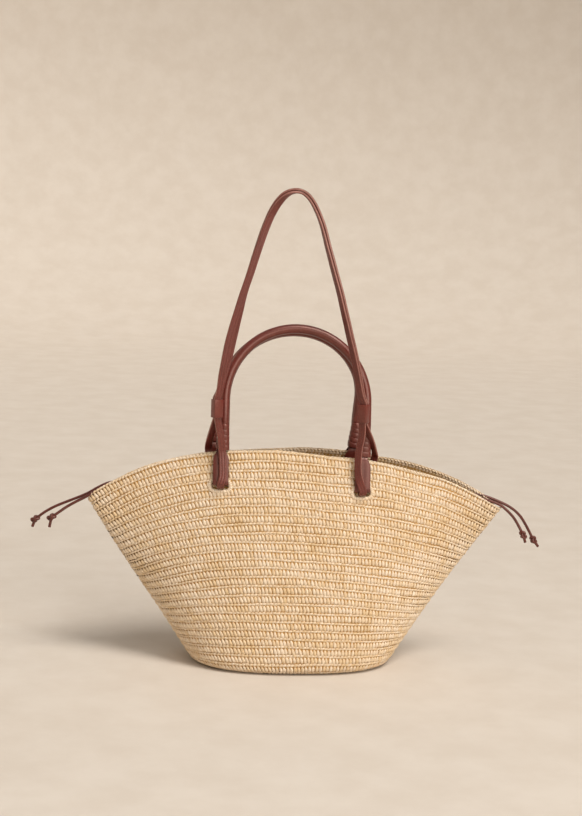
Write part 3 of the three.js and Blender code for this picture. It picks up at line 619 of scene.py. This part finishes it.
def rim_stitches(radius=3, stand=2.4, arc=1.9):
    """Slanting stitches bound over the rim from its outer to its inner edge."""
    angles = np.arange(1440) / 1440 * 2 * math.pi
    curve = skin(TOP, angles, radius) - (0, 0, stand)
    along = np.roll(curve, -1, 0) - np.roll(curve, 1, 0)
    along /= np.linalg.norm(along, axis=1)[:, None]
    outward = np.cross(along, (0, 0, 1))
    outward /= np.linalg.norm(outward, axis=1)[:, None]
    places = np.concatenate([[0], np.cumsum(np.linalg.norm(np.roll(curve, -1, 0) - curve, axis=1))])
    count = round(places[-1] / STITCH)
    centres = (np.arange(count) + straw.normal(0, 0.04, count)) * places[-1] / count
    share = np.linspace(-1, 1, len(POST))[None, :, None]
    width = np.array([0.62, 0.95, 1, 0.95, 0.62])[None, :, None]
    bow = np.array([b[0] for b in POST_BOW])[None, None]
    sink = np.array([b[1] for b in POST_BOW])[None, None]
    s = centres[:, None, None] + 0.5 * STITCH * (bow * width + 0.5 * share)
    deep = straw.uniform(0, 0.4, (count, 1, 1)) + 1.5 * sink + 0 * s

    def at(rows):
        looped = np.vstack([rows, rows[:1]])
        return np.stack([np.interp(s % places[-1], places, looped[:, axis]) for axis in range(3)], -1)

    lean = np.sin(share * arc)[..., None] * radius * at(outward)
    rise = np.cos(share * arc)[..., None] * stand * np.array([0, 0, 1])
    points = at(curve) + (lean + rise) * (1 - deep / radius)[..., None]
    fibre = np.stack([bow + 0 * s, share * 2 * radius + 0 * s], -1) + straw.uniform(0, 90, (count, 1, 1, 2))
    return [(points, straw.uniform(0, 0.6, count), fibre)]


raffia_piece("rim_stitches", rim_stitches(), straw_raffia)

# The ground: crossed strands behind the posts, which close the wall and fill the hem, coloured darker as
# painted shade.
ground_sides = 240
ground_angles = np.arange(ground_sides) / ground_sides * 2 * math.pi
GROUND_OUT, GROUND_IN, HEM_IN = 1.7, 2.2, 5.2
GROUND_TOP = TOP - 0.25
profile = [(row, GROUND_OUT) for row in np.arange(-BASE_ROUNDS - 0.4, TOP - 0.3, 0.5)]
profile += [(GROUND_TOP, GROUND_OUT), (GROUND_TOP, HEM_IN), (HEM_FOOT, HEM_IN), (HEM_FOOT, GROUND_IN)]
profile += [(row, GROUND_IN) for row in np.arange(TOP - 2, -BASE_ROUNDS - 0.5, -0.5)]
rings = np.stack([skin(row, ground_angles, inset) for row, inset in profile]) * MM
here = np.arange(len(profile) - 1)[:, None] * ground_sides
turn = np.arange(ground_sides)
quads = np.stack([here + turn, here + (turn + 1) % ground_sides], -1)
quads = np.concatenate([quads, quads[..., ::-1] + ground_sides], -1).reshape(-1, 4).tolist()
for start in (0, (len(profile) - 1) * ground_sides):
    for i in range(1, ground_sides // 2 - 1):
        quads.append((start + i, start + i + 1, start + ground_sides - i - 1, start + ground_sides - i))
    for i in (0, ground_sides // 2):
        quads.append((start + i, start + (i + 1) % ground_sides, start + (i - 1) % ground_sides))
ground_mesh = bpy.data.meshes.new("raffia_ground")
ground_mesh.from_pydata(rings.reshape(-1, 3).tolist(), [], quads)
raffia_ground = bpy.data.objects.new("raffia_ground", ground_mesh)
bpy.context.scene.collection.objects.link(raffia_ground)
face_outwards(raffia_ground)

for x, z, face, _ in eyelets:
    bpy.ops.object.select_all(action="DESELECT")
    bpy.ops.mesh.primitive_cylinder_add(
        vertices=28,
        radius=EYELET_ROUND * MM,
        depth=BASE_DEPTH / 2 * MM,
        location=(x * MM, face * BASE_DEPTH / 4 * MM, z * MM),
        rotation=(math.pi / 2, 0, 0),
    )
    hole = bpy.context.object
    bpy.ops.object.transform_apply(location=True, rotation=True, scale=True)
    for vertex in hole.data.vertices:
        vertex.co.x += math.copysign((EYELET_HALF - EYELET_ROUND) * MM, vertex.co.x - x * MM)
    cut = raffia_ground.modifiers.new("eyelet", "BOOLEAN")
    cut.operation = "DIFFERENCE"
    cut.object = hole
    cut.solver = "EXACT"
    bpy.context.view_layer.objects.active = raffia_ground
    bpy.ops.object.modifier_apply(modifier=cut.name)
    bpy.data.objects.remove(hole)
raffia_ground.data.materials.append(shaded_ground_raffia)
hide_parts("basket_body")
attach(raffia_ground, "root")

# Eyelets: each hole's edge is bound all round in a smooth, close buttonhole stitch of pale raffia,
# which wraps round the cut edge from the outside to the inside.
EDGING_OUT = 1.9
EDGING_HALF = 2.2
EDGING_WRAPS = 24


def panel_depth(x, z, face, inset=0):
    """Half the depth of the skin at a place on a panel, in millimetres."""
    low, high = 0.0, 1.0
    for _ in range(30):
        level = (low + high) / 2
        low, high = (level, high) if height(level, x, face) < z else (low, level)
    length, depth, end_power, side_power = section(low, inset)
    across = min(1, abs(x) / length) ** (1 / end_power)
    return depth * math.sqrt(1 - across**2) ** side_power


for x, z, face, side in eyelets:
    turns = np.arange(192) / 192 * 2 * math.pi
    reach = EYELET_ROUND + EDGING_OUT
    straight = EYELET_HALF - EYELET_ROUND
    path, across, out, outline = [], [], [], []
    for turn in turns:
        c, s = math.cos(turn), math.sin(turn)
        place = Vector((x + reach * c + straight * max(-1, min(1, 2.2 * c)), 0, z + reach * s))
        place.y = face * (panel_depth(place.x, place.z, face) - 1.6)
        path.append(place * MM)
        across.append(Vector((c, 0, s)))
        out.append(Vector((0, face, 0)))
        wrap = 1 + 0.13 * math.cos(EDGING_WRAPS * turn)
        ring = circle(12)
        outline.append(np.stack([ring[:, 0] * EDGING_HALF * wrap, ring[:, 1] * 2 * wrap], -1) * MM)
    name = ("front" if face < 0 else "back") + ("_left" if side < 0 else "_right") + "_eyelet_edge"
    edging = sweep(name, path, across, out, outline, closed=True)
    count = len(edging.data.vertices)
    edging.data.attributes.new("tone", "FLOAT", "POINT").data.foreach_set("value", [0.3] * count)
    ring_turn = np.repeat(turns * 9, 12)
    ring_across = np.tile(np.arange(12) * 1.2, 192)
    corners = np.empty(len(edging.data.loops), dtype=np.int32)
    edging.data.loops.foreach_get("vertex_index", corners)
    fibre = np.stack([ring_turn, ring_across], -1)[corners]
    edging.data.uv_layers.new(name="fibre").data.foreach_set("uv", fibre.ravel())
    edging.data.materials.append(straw_raffia)
    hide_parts("basket_body")
    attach(edging, "root")

# Handles: leather rolled round a rope core, with its two edges meeting in a raised seam along the
# inside of the arch. Each stands over a panel's hem, and the two lean on each other at the top.
handle_leather = leather("rolled bridle leather", "#6a221a", "#48130d", "#94544a", 0.34, 1.5)
HANDLE_LEAN = 1.3
BACK_HANDLE_SLIP = (3.2, -4)
HANDLE_MEET = 5.6 * MM
for panel, face in (("front", -1), ("back", 1)):
    low, high = handle_box[panel]
    wrap_tops = [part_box(f"{panel}_{end}_wrap")[1][2] for end in ("left", "right")]
    foot_depth = max(abs(low[1]), abs(high[1])) - HANDLE_RADIUS
    left_x, right_x = low[0] + HANDLE_RADIUS, high[0] - HANDLE_RADIUS
    half_span = (right_x - left_x) / 2
    top = high[2] - HANDLE_RADIUS
    spring = top - half_span
    bpy.ops.object.select_all(action="DESELECT")
    bpy.ops.mesh.primitive_circle_add(
        vertices=24, radius=HANDLE_RADIUS, location=(left_x, 0, wrap_tops[0] - 3 * MM)
    )
    handle = bpy.context.object
    handle.name = handle.data.name = panel + "_rolled_handle"
    bpy.ops.object.transform_apply(location=True, rotation=True, scale=True)
    for vertex in handle.data.vertices:
        inward = (vertex.co.x - left_x) / HANDLE_RADIUS
        if inward > 0.9:
            vertex.co.x += (0.5 if inward > 0.99 else -0.25) * MM
    bpy.ops.object.mode_set(mode="EDIT")
    bpy.ops.mesh.select_all(action="SELECT")
    rise = (spring - wrap_tops[0] + 3 * MM) / 6
    for _ in range(6):
        bpy.ops.mesh.extrude_region_move(TRANSFORM_OT_translate={"value": (0, 0, rise)})
    bpy.ops.mesh.spin(
        steps=44, angle=-math.pi, center=((left_x + right_x) / 2, 0, spring), axis=(0, 1, 0)
    )
    fall = (wrap_tops[1] - 3 * MM - spring) / 6
    for _ in range(6):
        bpy.ops.mesh.extrude_region_move(TRANSFORM_OT_translate={"value": (0, 0, fall)})
    bpy.ops.mesh.select_all(action="SELECT")
    bpy.ops.mesh.remove_doubles(threshold=0.01 * MM)
    bpy.ops.mesh.select_all(action="DESELECT")
    bpy.ops.mesh.select_non_manifold()
    bpy.ops.mesh.edge_face_add()
    bpy.ops.mesh.select_all(action="SELECT")
    bpy.ops.mesh.normals_make_consistent(inside=False)
    bpy.ops.object.mode_set(mode="OBJECT")
    for vertex in handle.data.vertices:
        across = Vector((vertex.co.x - (left_x + right_x) / 2, 0, max(0, vertex.co.z - spring)))
        level = vertex.co.z
        if vertex.co.z > spring:
            level = spring + across.normalized().z * half_span
        start = min(wrap_tops) + HANDLE_RADIUS
        risen = max(0, (level - start) / (top - start)) ** HANDLE_LEAN
        vertex.co.y += face * mix(foot_depth, HANDLE_MEET, risen)
        if face > 0:
            slip = min(1, max(0, (level - max(wrap_tops)) / (60 * MM)))
            vertex.co.x += BACK_HANDLE_SLIP[0] * slip * MM
            vertex.co.z += BACK_HANDLE_SLIP[1] * slip * MM
    bpy.ops.object.shade_smooth()
    handle.data.materials.append(handle_leather)
    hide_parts(panel + "_handle")
    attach(handle, "root")

# Loops: wide soft straps folded lengthwise into two pleats, which go through an eyelet, straddle
# the rim and are gathered under the wrap. Their folds are rounded and the hide creases in them.
loop_leather = leather("soft pleated leather", "#66211a", "#3e0f0a", "#8a4b41", 0.4, 1.5)


def copy_of_node(node, name):
    """The solid of a node as a new mesh with whole faces, to be rounded off."""
    piece = bpy.data.objects.new(name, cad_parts[node].data.copy())
    piece.data.name = name
    bpy.context.scene.collection.objects.link(piece)
    piece.data.materials.clear()
    bpy.ops.object.select_all(action="DESELECT")
    piece.select_set(True)
    bpy.context.view_layer.objects.active = piece
    if piece.data.has_custom_normals:
        bpy.ops.mesh.customdata_custom_splitnormals_clear()
    bpy.ops.object.mode_set(mode="EDIT")
    bpy.ops.mesh.select_all(action="SELECT")
    bpy.ops.mesh.remove_doubles(threshold=0.01 * MM)
    bpy.ops.mesh.tris_convert_to_quads(face_threshold=math.radians(55), shape_threshold=math.radians(180))
    bpy.ops.mesh.normals_make_consistent(inside=False)
    bpy.ops.object.mode_set(mode="OBJECT")
    return piece


def finish_modifier(piece, kind, **settings):
    """Adds a modifier and applies it."""
    made = piece.modifiers.new(kind.lower(), kind)
    for name, value in settings.items():
        setattr(made, name, value)
    bpy.context.view_layer.objects.active = piece
    bpy.ops.object.modifier_apply(modifier=made.name)


feet = [f"{panel}_{end}" for panel in ("front", "back") for end in ("left", "right")]
for foot in feet:
    pleated = copy_of_node(foot + "_loop", foot + "_pleated_loop")
    finish_modifier(
        pleated, "BEVEL", width=0.35 * MM, segments=2, limit_method="ANGLE", angle_limit=math.radians(60)
    )
    finish_modifier(pleated, "SUBSURF", levels=1, render_levels=1)
    bpy.ops.object.shade_smooth()
    pleated.data.materials.append(loop_leather)
    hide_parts(foot + "_loop")
    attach(pleated, "root")

# Wraps: a flat leather thong wound five times round each handle's end and the loop's gathered
# legs. Each turn laps over the one below, and the cut end is tucked in under the lowest.
wrap_leather = leather("wound leather thong", "#6a231b", "#44120d", "#935449", 0.38, 1.2)
WRAP_TURNS = 5
THONG = [(-3.3, -0.9), (-3.35, 0.1), (-3.1, 0.42), (-2.4, 0.5), (0, 0.42), (2.4, 0.22)]
THONG += [(3.2, -0.2), (3.2, -1.3), (0, -1.2)]
WRAP_TOP = 11.2
WRAP_FOOT = (15.6, 12.8)
FOOT_SHIFT = 1.5
LOW_TURN = 3.6 * MM
HIGH_TURN = 3.2 * MM
for foot in feet:
    panel, end = foot.split("_")
    face = -1 if panel == "front" else 1
    low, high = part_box(foot + "_wrap")
    leg_box = handle_box[panel]
    leg_x = leg_box[0][0] + HANDLE_RADIUS if end == "left" else leg_box[1][0] - HANDLE_RADIUS
    leg_y = face * (max(abs(leg_box[0][1]), abs(leg_box[1][1])) - HANDLE_RADIUS)
    steps = WRAP_TURNS * 40
    path, up, out = [], [], []
    for i in range(steps + 1):
        t = i / steps
        angle = -2 * math.pi * WRAP_TURNS * t + math.pi / 2
        rise = min(1, max(0, (t * WRAP_TURNS - 0.25) / (WRAP_TURNS - 0.75)))
        full = mix(0.7, 1, rise)
        c, s = math.cos(angle), math.sin(angle)
        wide = mix(WRAP_FOOT[0], WRAP_TOP, rise) / 2 - 0.25
        deep = mix(WRAP_FOOT[1], WRAP_TOP, rise) / 2 - 0.25
        level = mix(low[2] + LOW_TURN, high[2] - HIGH_TURN, rise)
        middle = Vector((leg_x - mix(FOOT_SHIFT, 0, rise) * MM, leg_y, level))
        radial = Vector(
            (wide * math.copysign(abs(c) ** full, c), deep * math.copysign(abs(s) ** full, s), 0)
        )
        path.append(middle + radial * MM)
        facing = Vector((c / wide, s / deep, 0)).normalized()
        out.append(facing)
        up.append(Vector((0, 0, 1)))
    wound = sweep(foot + "_wound_thong", path, up, out, np.array(THONG) * MM)
    wound.data.materials.append(wrap_leather)
    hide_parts(foot + "_wrap")
    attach(wound, "root")

# Shoulder strap: one long band of bridle leather, two hides stitched together in two rows. Its cut
# edges are burnished smooth and coloured paler than the hide as a painted highlight, and the thread
# is dark waxed linen, sunk in a groove. It is doubled into a loop whose two ends go through the front
# eyelets.
strap_leather = leather("stitched bridle leather", "#6a221b", "#4a140e", "#93544b", 0.36, 1.4)
# The edge leather's paler colours are a painted highlight for the light the cut edges catch.
painted_highlight_edge_leather = leather("burnished edge with painted highlight", "#94645a", "#704237", "#b08a80", 0.3, 1.0)
thread = leather("waxed linen thread", "#5a211b", "#3d120e", "#7a3f36", 0.5, 0.5)
STRAP_WIDTH = 8.2 * MM
STRAP_THICKNESS = 2.7 * MM
STRAP_START = Vector((-88.3, -26.9, 212.5)) * MM
STRAP_MIDDLE = -14
# The soft legs ease a little off the solid's: heights, and how far to the right there
LEFT_EASE_AT = (300, 308, 315, 333, 356, 378, 405, 448, 476, 501, 525, 538)
LEFT_EASE = (0, -0.5, -1.3, -2.1, -0.9, 0.2, 1.1, 1.9, 2.7, 2, 1.7, 1.9)
RIGHT_EASE_AT = (308, 409, 432, 456, 481, 503, 522, 538)
RIGHT_EASE = (0, -0.3, 0.9, 1.5, 1.6, 2, 2.2, 1.9)
# The right leg behind its keeper hangs straighter than the solid's: how far to the right and back
STRAP_REAR = -39.5
REAR_EASE_AT = (216, 229, 243, 256, 270, 277, 283)
REAR_EASE_RIGHT = (0, -1, -1, -2.8, -3.6, -2, 0)
REAR_EASE_BACK = (0, 0, -1, 2.5, 1.7, 0.7, 0)
APEX_LIFT = 2.2
APEX_FROM = 500
APEX_TO = 534
BAND = [(-4.1, 0.45), (-3.98, 0.95), (-3.6, 1.28), (-3.1, 1.37), (-2.15, 1.33), (-1.6, 1.12), (-1.05, 1.33)]
BAND += [(0, 1.38), (1.05, 1.33), (1.6, 1.12), (2.15, 1.33), (3.1, 1.37), (3.6, 1.28)]
BAND += [(3.98, 0.95), (4.1, 0.45)]
BAND += [(wide, -thick) for wide, thick in BAND[::-1]]
STITCH_PITCH = 2.9
ROUTE_STEPS = 4


def band_stations(node, width, thickness, start):
    """The cross-sections of a looped band's solid, in order: each one's middle and its face's way."""
    work = bmesh.new()
    work.from_mesh(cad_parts[node].data)
    bmesh.ops.remove_doubles(work, verts=work.verts, dist=0.01 * MM)
    sides = [edge for edge in work.edges if abs(edge.calc_length() - thickness) < 0.01 * MM]
    centre = {edge: (edge.verts[0].co + edge.verts[1].co) / 2 for edge in sides}
    side_of = {vertex: edge for edge in sides for vertex in edge.verts}

    def near(edge):
        joined = {side_of[link.other_vert(vertex)] for vertex in edge.verts for link in vertex.link_edges}
        return joined - {edge}

    def other_side(edge):
        return min(near(edge), key=lambda other: abs((centre[edge] - centre[other]).length - width))

    def middle_of(edge):
        return (centre[edge] + centre[other_side(edge)]) / 2

    edge = min(sides, key=lambda side: (middle_of(side) - start).length)
    look = Vector((0, 1, 0))
    stations, done = [], set()
    while edge:
        normal = (edge.verts[0].co - edge.verts[1].co).normalized()
        look = normal if normal.dot(look) > 0 else -normal
        stations.append((*middle_of(edge), *look))
        done |= {edge, other_side(edge)}
        onward = (near(edge) | near(other_side(edge))) - done
        edge = min(onward, key=lambda side: middle_of(side).z) if onward else None
    work.free()
    return np.array(stations)


stations = band_stations("shoulder_strap", STRAP_WIDTH, STRAP_THICKNESS, STRAP_START)
x, y, z = stations[:, :3].T / MM
left_ease, right_ease = np.interp(z, LEFT_EASE_AT, LEFT_EASE), np.interp(z, RIGHT_EASE_AT, RIGHT_EASE)
stations[:, 0] += np.where(x < STRAP_MIDDLE, left_ease, right_ease) * MM
rear = (x > STRAP_MIDDLE) & (y > STRAP_REAR)
stations[:, 0] += np.where(rear, np.interp(z, REAR_EASE_AT, REAR_EASE_RIGHT), 0) * MM
stations[:, 1] += np.where(rear, np.interp(z, REAR_EASE_AT, REAR_EASE_BACK), 0) * MM
risen = np.clip((z - APEX_FROM) / (APEX_TO - APEX_FROM), 0, 1)
stations[:, 2] += APEX_LIFT * risen**2 * (3 - 2 * risen) * MM
looped = np.vstack([stations[-2:], stations, stations[:3]])
route = smooth_route(looped, ROUTE_STEPS)[2 * ROUTE_STEPS : (2 + len(stations)) * ROUTE_STEPS]
middle, face = route[:, :3], route[:, 3:]
along = np.roll(middle, -1, 0) - np.roll(middle, 1, 0)
along /= np.linalg.norm(along, axis=1)[:, None]
face = face - along * (face * along).sum(1)[:, None]
face /= np.linalg.norm(face, axis=1)[:, None]
wide = np.cross(along, face)
strap = sweep("doubled_shoulder_strap", middle, wide, face, np.array(BAND) * MM, closed=True)
strap.data.materials.append(strap_leather)
strap.data.materials.append(painted_highlight_edge_leather)
half = len(BAND) // 2
edge_bands = {0, half - 2, half - 1, half, 2 * half - 2, 2 * half - 1}
for polygon in strap.data.polygons:
    polygon.material_index = 1 if polygon.index % len(BAND) in edge_bands else 0

steps = np.linalg.norm(np.roll(middle, -1, 0) - middle, axis=1)
places = np.concatenate([[0], np.cumsum(steps)])
count = round(places[-1] / (STITCH_PITCH * MM))
centres = np.arange(count) * places[-1] / count


def on_band(rows, where):
    """A value of the strap's route at places along it."""
    looped = np.vstack([rows, rows[:1]])
    return np.stack([np.interp(where % places[-1], places, looped[:, axis]) for axis in range(3)], -1)


THREAD_RUN = [(-1.15, 0.35), (-0.8, 0.9), (0, 1), (0.8, 0.9), (1.15, 0.35)]
THREAD_ROUND = [(-0.42, -0.3), (-0.3, 0.22), (0, 0.4), (0.3, 0.22), (0.42, -0.3)]
stitch_points = []
for row in (-1.6, 1.6):
    for look in (-1, 1):
        run = centres[:, None] + np.array([r for r, _ in THREAD_RUN]) * MM
        swell = np.array([k for _, k in THREAD_RUN])
        base, up, out = on_band(middle, run), on_band(wide, run), on_band(face, run) * look
        for w, n in THREAD_ROUND:
            lift = 1.1 + n * swell
            raised = up * (row + w * swell)[None, :, None] + out * lift[None, :, None]
            stitch_points.append(base + raised * MM)
stitch_points = np.stack(stitch_points).reshape(4, 5, count, 5, 3).transpose(0, 2, 3, 1, 4).reshape(-1, 3)
faces_of = closed_shape(5, 5)
faces = (np.arange(4 * count)[:, None, None] * 25 + faces_of[None]).reshape(-1, 4)
stitch_mesh = bpy.data.meshes.new("shoulder_strap_stitches")
stitch_mesh.from_pydata(stitch_points.tolist(), [], [tuple(dict.fromkeys(f)) for f in faces.tolist()])
stitch_mesh.polygons.foreach_set("use_smooth", [True] * len(stitch_mesh.polygons))
stitches = bpy.data.objects.new("shoulder_strap_stitches", stitch_mesh)
bpy.context.scene.collection.objects.link(stitches)
face_outwards(stitches)
stitch_mesh.materials.append(thread)
for piece in (strap, stitches):
    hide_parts("shoulder_strap")
    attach(piece, "root")

# Keepers: short leather sleeves, slid down both plies of the strap to hold them together.
keeper_leather = leather("moulded keeper leather", "#6e241c", "#4c150f", "#96564b", 0.34, 1.4)
for end in ("left", "right"):
    keeper = copy_of_node(end + "_keeper", end + "_strap_keeper")
    finish_modifier(
        keeper, "BEVEL", width=0.5 * MM, segments=3, limit_method="ANGLE", angle_limit=math.radians(50)
    )
    bpy.ops.object.shade_smooth_by_angle(angle=math.radians(35))
    keeper.data.materials.append(keeper_leather)
    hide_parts(end + "_keeper")
    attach(keeper, "root")

# Studio: a warm pale sweep of limewashed canvas under and all round the bag, so that no horizon
# shows. The wash is faintly mottled.
backdrop, wash = new_material("limewashed canvas")
where = add_node(backdrop, "ShaderNodeTexCoord").outputs["Object"]
broad = add_node(
    backdrop, "ShaderNodeTexNoise", {"Vector": where, "Scale": 15.0, "Detail": 5.0, "Roughness": 0.6}
)
patches = add_node(
    backdrop,
    "ShaderNodeMapRange",
    {"Value": broad.outputs["Fac"], "From Min": 0.36, "From Max": 0.64, "To Min": 0.0, "To Max": 1.0},
)
mottled = add_node(
    backdrop,
    "ShaderNodeMix",
    {0: patches.outputs["Result"], 6: linear("#d3cabf"), 7: linear("#d8d0c6")},
    data_type="RGBA",
)
backdrop.node_tree.links.new(mottled.outputs[2], wash.inputs["Base Color"])
wash.inputs["Roughness"].default_value = 0.9
wash.inputs["Specular IOR Level"].default_value = 0.1
FLOOR_RADIUS = 3.2
COVE_RADIUS = 1.2
COVE_STEPS = 8
WALL_HEIGHT = 1.6
bpy.ops.object.select_all(action="DESELECT")
bpy.ops.mesh.primitive_circle_add(vertices=96, radius=FLOOR_RADIUS, fill_type="NGON")
floor = bpy.context.object
floor.name = floor.data.name = "studio_sweep"
bpy.ops.object.mode_set(mode="EDIT")
bpy.ops.mesh.select_all(action="SELECT")
bpy.ops.mesh.inset(thickness=1.2)
bpy.ops.mesh.select_all(action="DESELECT")
bpy.ops.object.mode_set(mode="OBJECT")
for edge in floor.data.edges:
    edge.select = all(floor.data.vertices[v].co.length > FLOOR_RADIUS - 0.1 for v in edge.vertices)
bpy.ops.object.mode_set(mode="EDIT")
for step in range(COVE_STEPS):
    before, angle = (k / COVE_STEPS * math.pi / 2 for k in (step, step + 1))
    reach_before, reach = (FLOOR_RADIUS + COVE_RADIUS * math.sin(a) for a in (before, angle))
    widen = reach / reach_before
    lift = COVE_RADIUS * (math.cos(before) - math.cos(angle))
    bpy.ops.mesh.extrude_region_move(TRANSFORM_OT_translate={"value": (0, 0, lift)})
    bpy.ops.transform.resize(value=(widen, widen, 1), center_override=(0, 0, 0))
bpy.ops.mesh.extrude_region_move(TRANSFORM_OT_translate={"value": (0, 0, WALL_HEIGHT)})
bpy.ops.mesh.select_all(action="SELECT")
bpy.ops.mesh.normals_make_consistent(inside=True)
bpy.ops.object.mode_set(mode="OBJECT")
bpy.ops.object.shade_smooth_by_angle(angle=math.radians(40))
floor.data.materials.append(backdrop)

# Light: a high, soft sun and two weak ones from the right light the canvas evenly. A broad soft box
# in front and to the right is what the leather mirrors as a pale bloom. The sky is weak.
world = bpy.data.worlds.new("studio_air")
world.use_nodes = True
world.node_tree.nodes["Background"].inputs["Color"].default_value = linear("#fffbf5")
world.node_tree.nodes["Background"].inputs["Strength"].default_value = 0.35
bpy.context.scene.world = world
for name, kind, place, spread, power in (
    ("high_sun", "SUN", (1.0, -1.2, 3.0), 24, 2.15),
    ("low_sun", "SUN", (1.7, -1.9, 0.8), 36, 0.6),
    ("side_sun", "SUN", (2.6, -0.2, 1.2), 30, 0.5),
    ("front_box", "AREA", (1.1, -2.0, 1.0), (2.0, 1.0), 24),
):
    bpy.ops.object.light_add(type=kind, location=place)
    lamp = bpy.context.object
    lamp.name = lamp.data.name = name
    lamp.data.energy = power
    lamp.data.color = linear("#fff8f0")[:3]
    lamp.rotation_mode = "QUATERNION"
    lamp.rotation_quaternion = (lamp.location - Vector((0, 0, 0.3))).to_track_quat("Z", "Y")
    lamp.visible_camera = False
    if kind == "SUN":
        lamp.data.angle = math.radians(spread)
    else:
        lamp.data.shape = "RECTANGLE"
        lamp.data.size, lamp.data.size_y = spread
bpy.context.scene.view_settings.view_transform = "Standard"
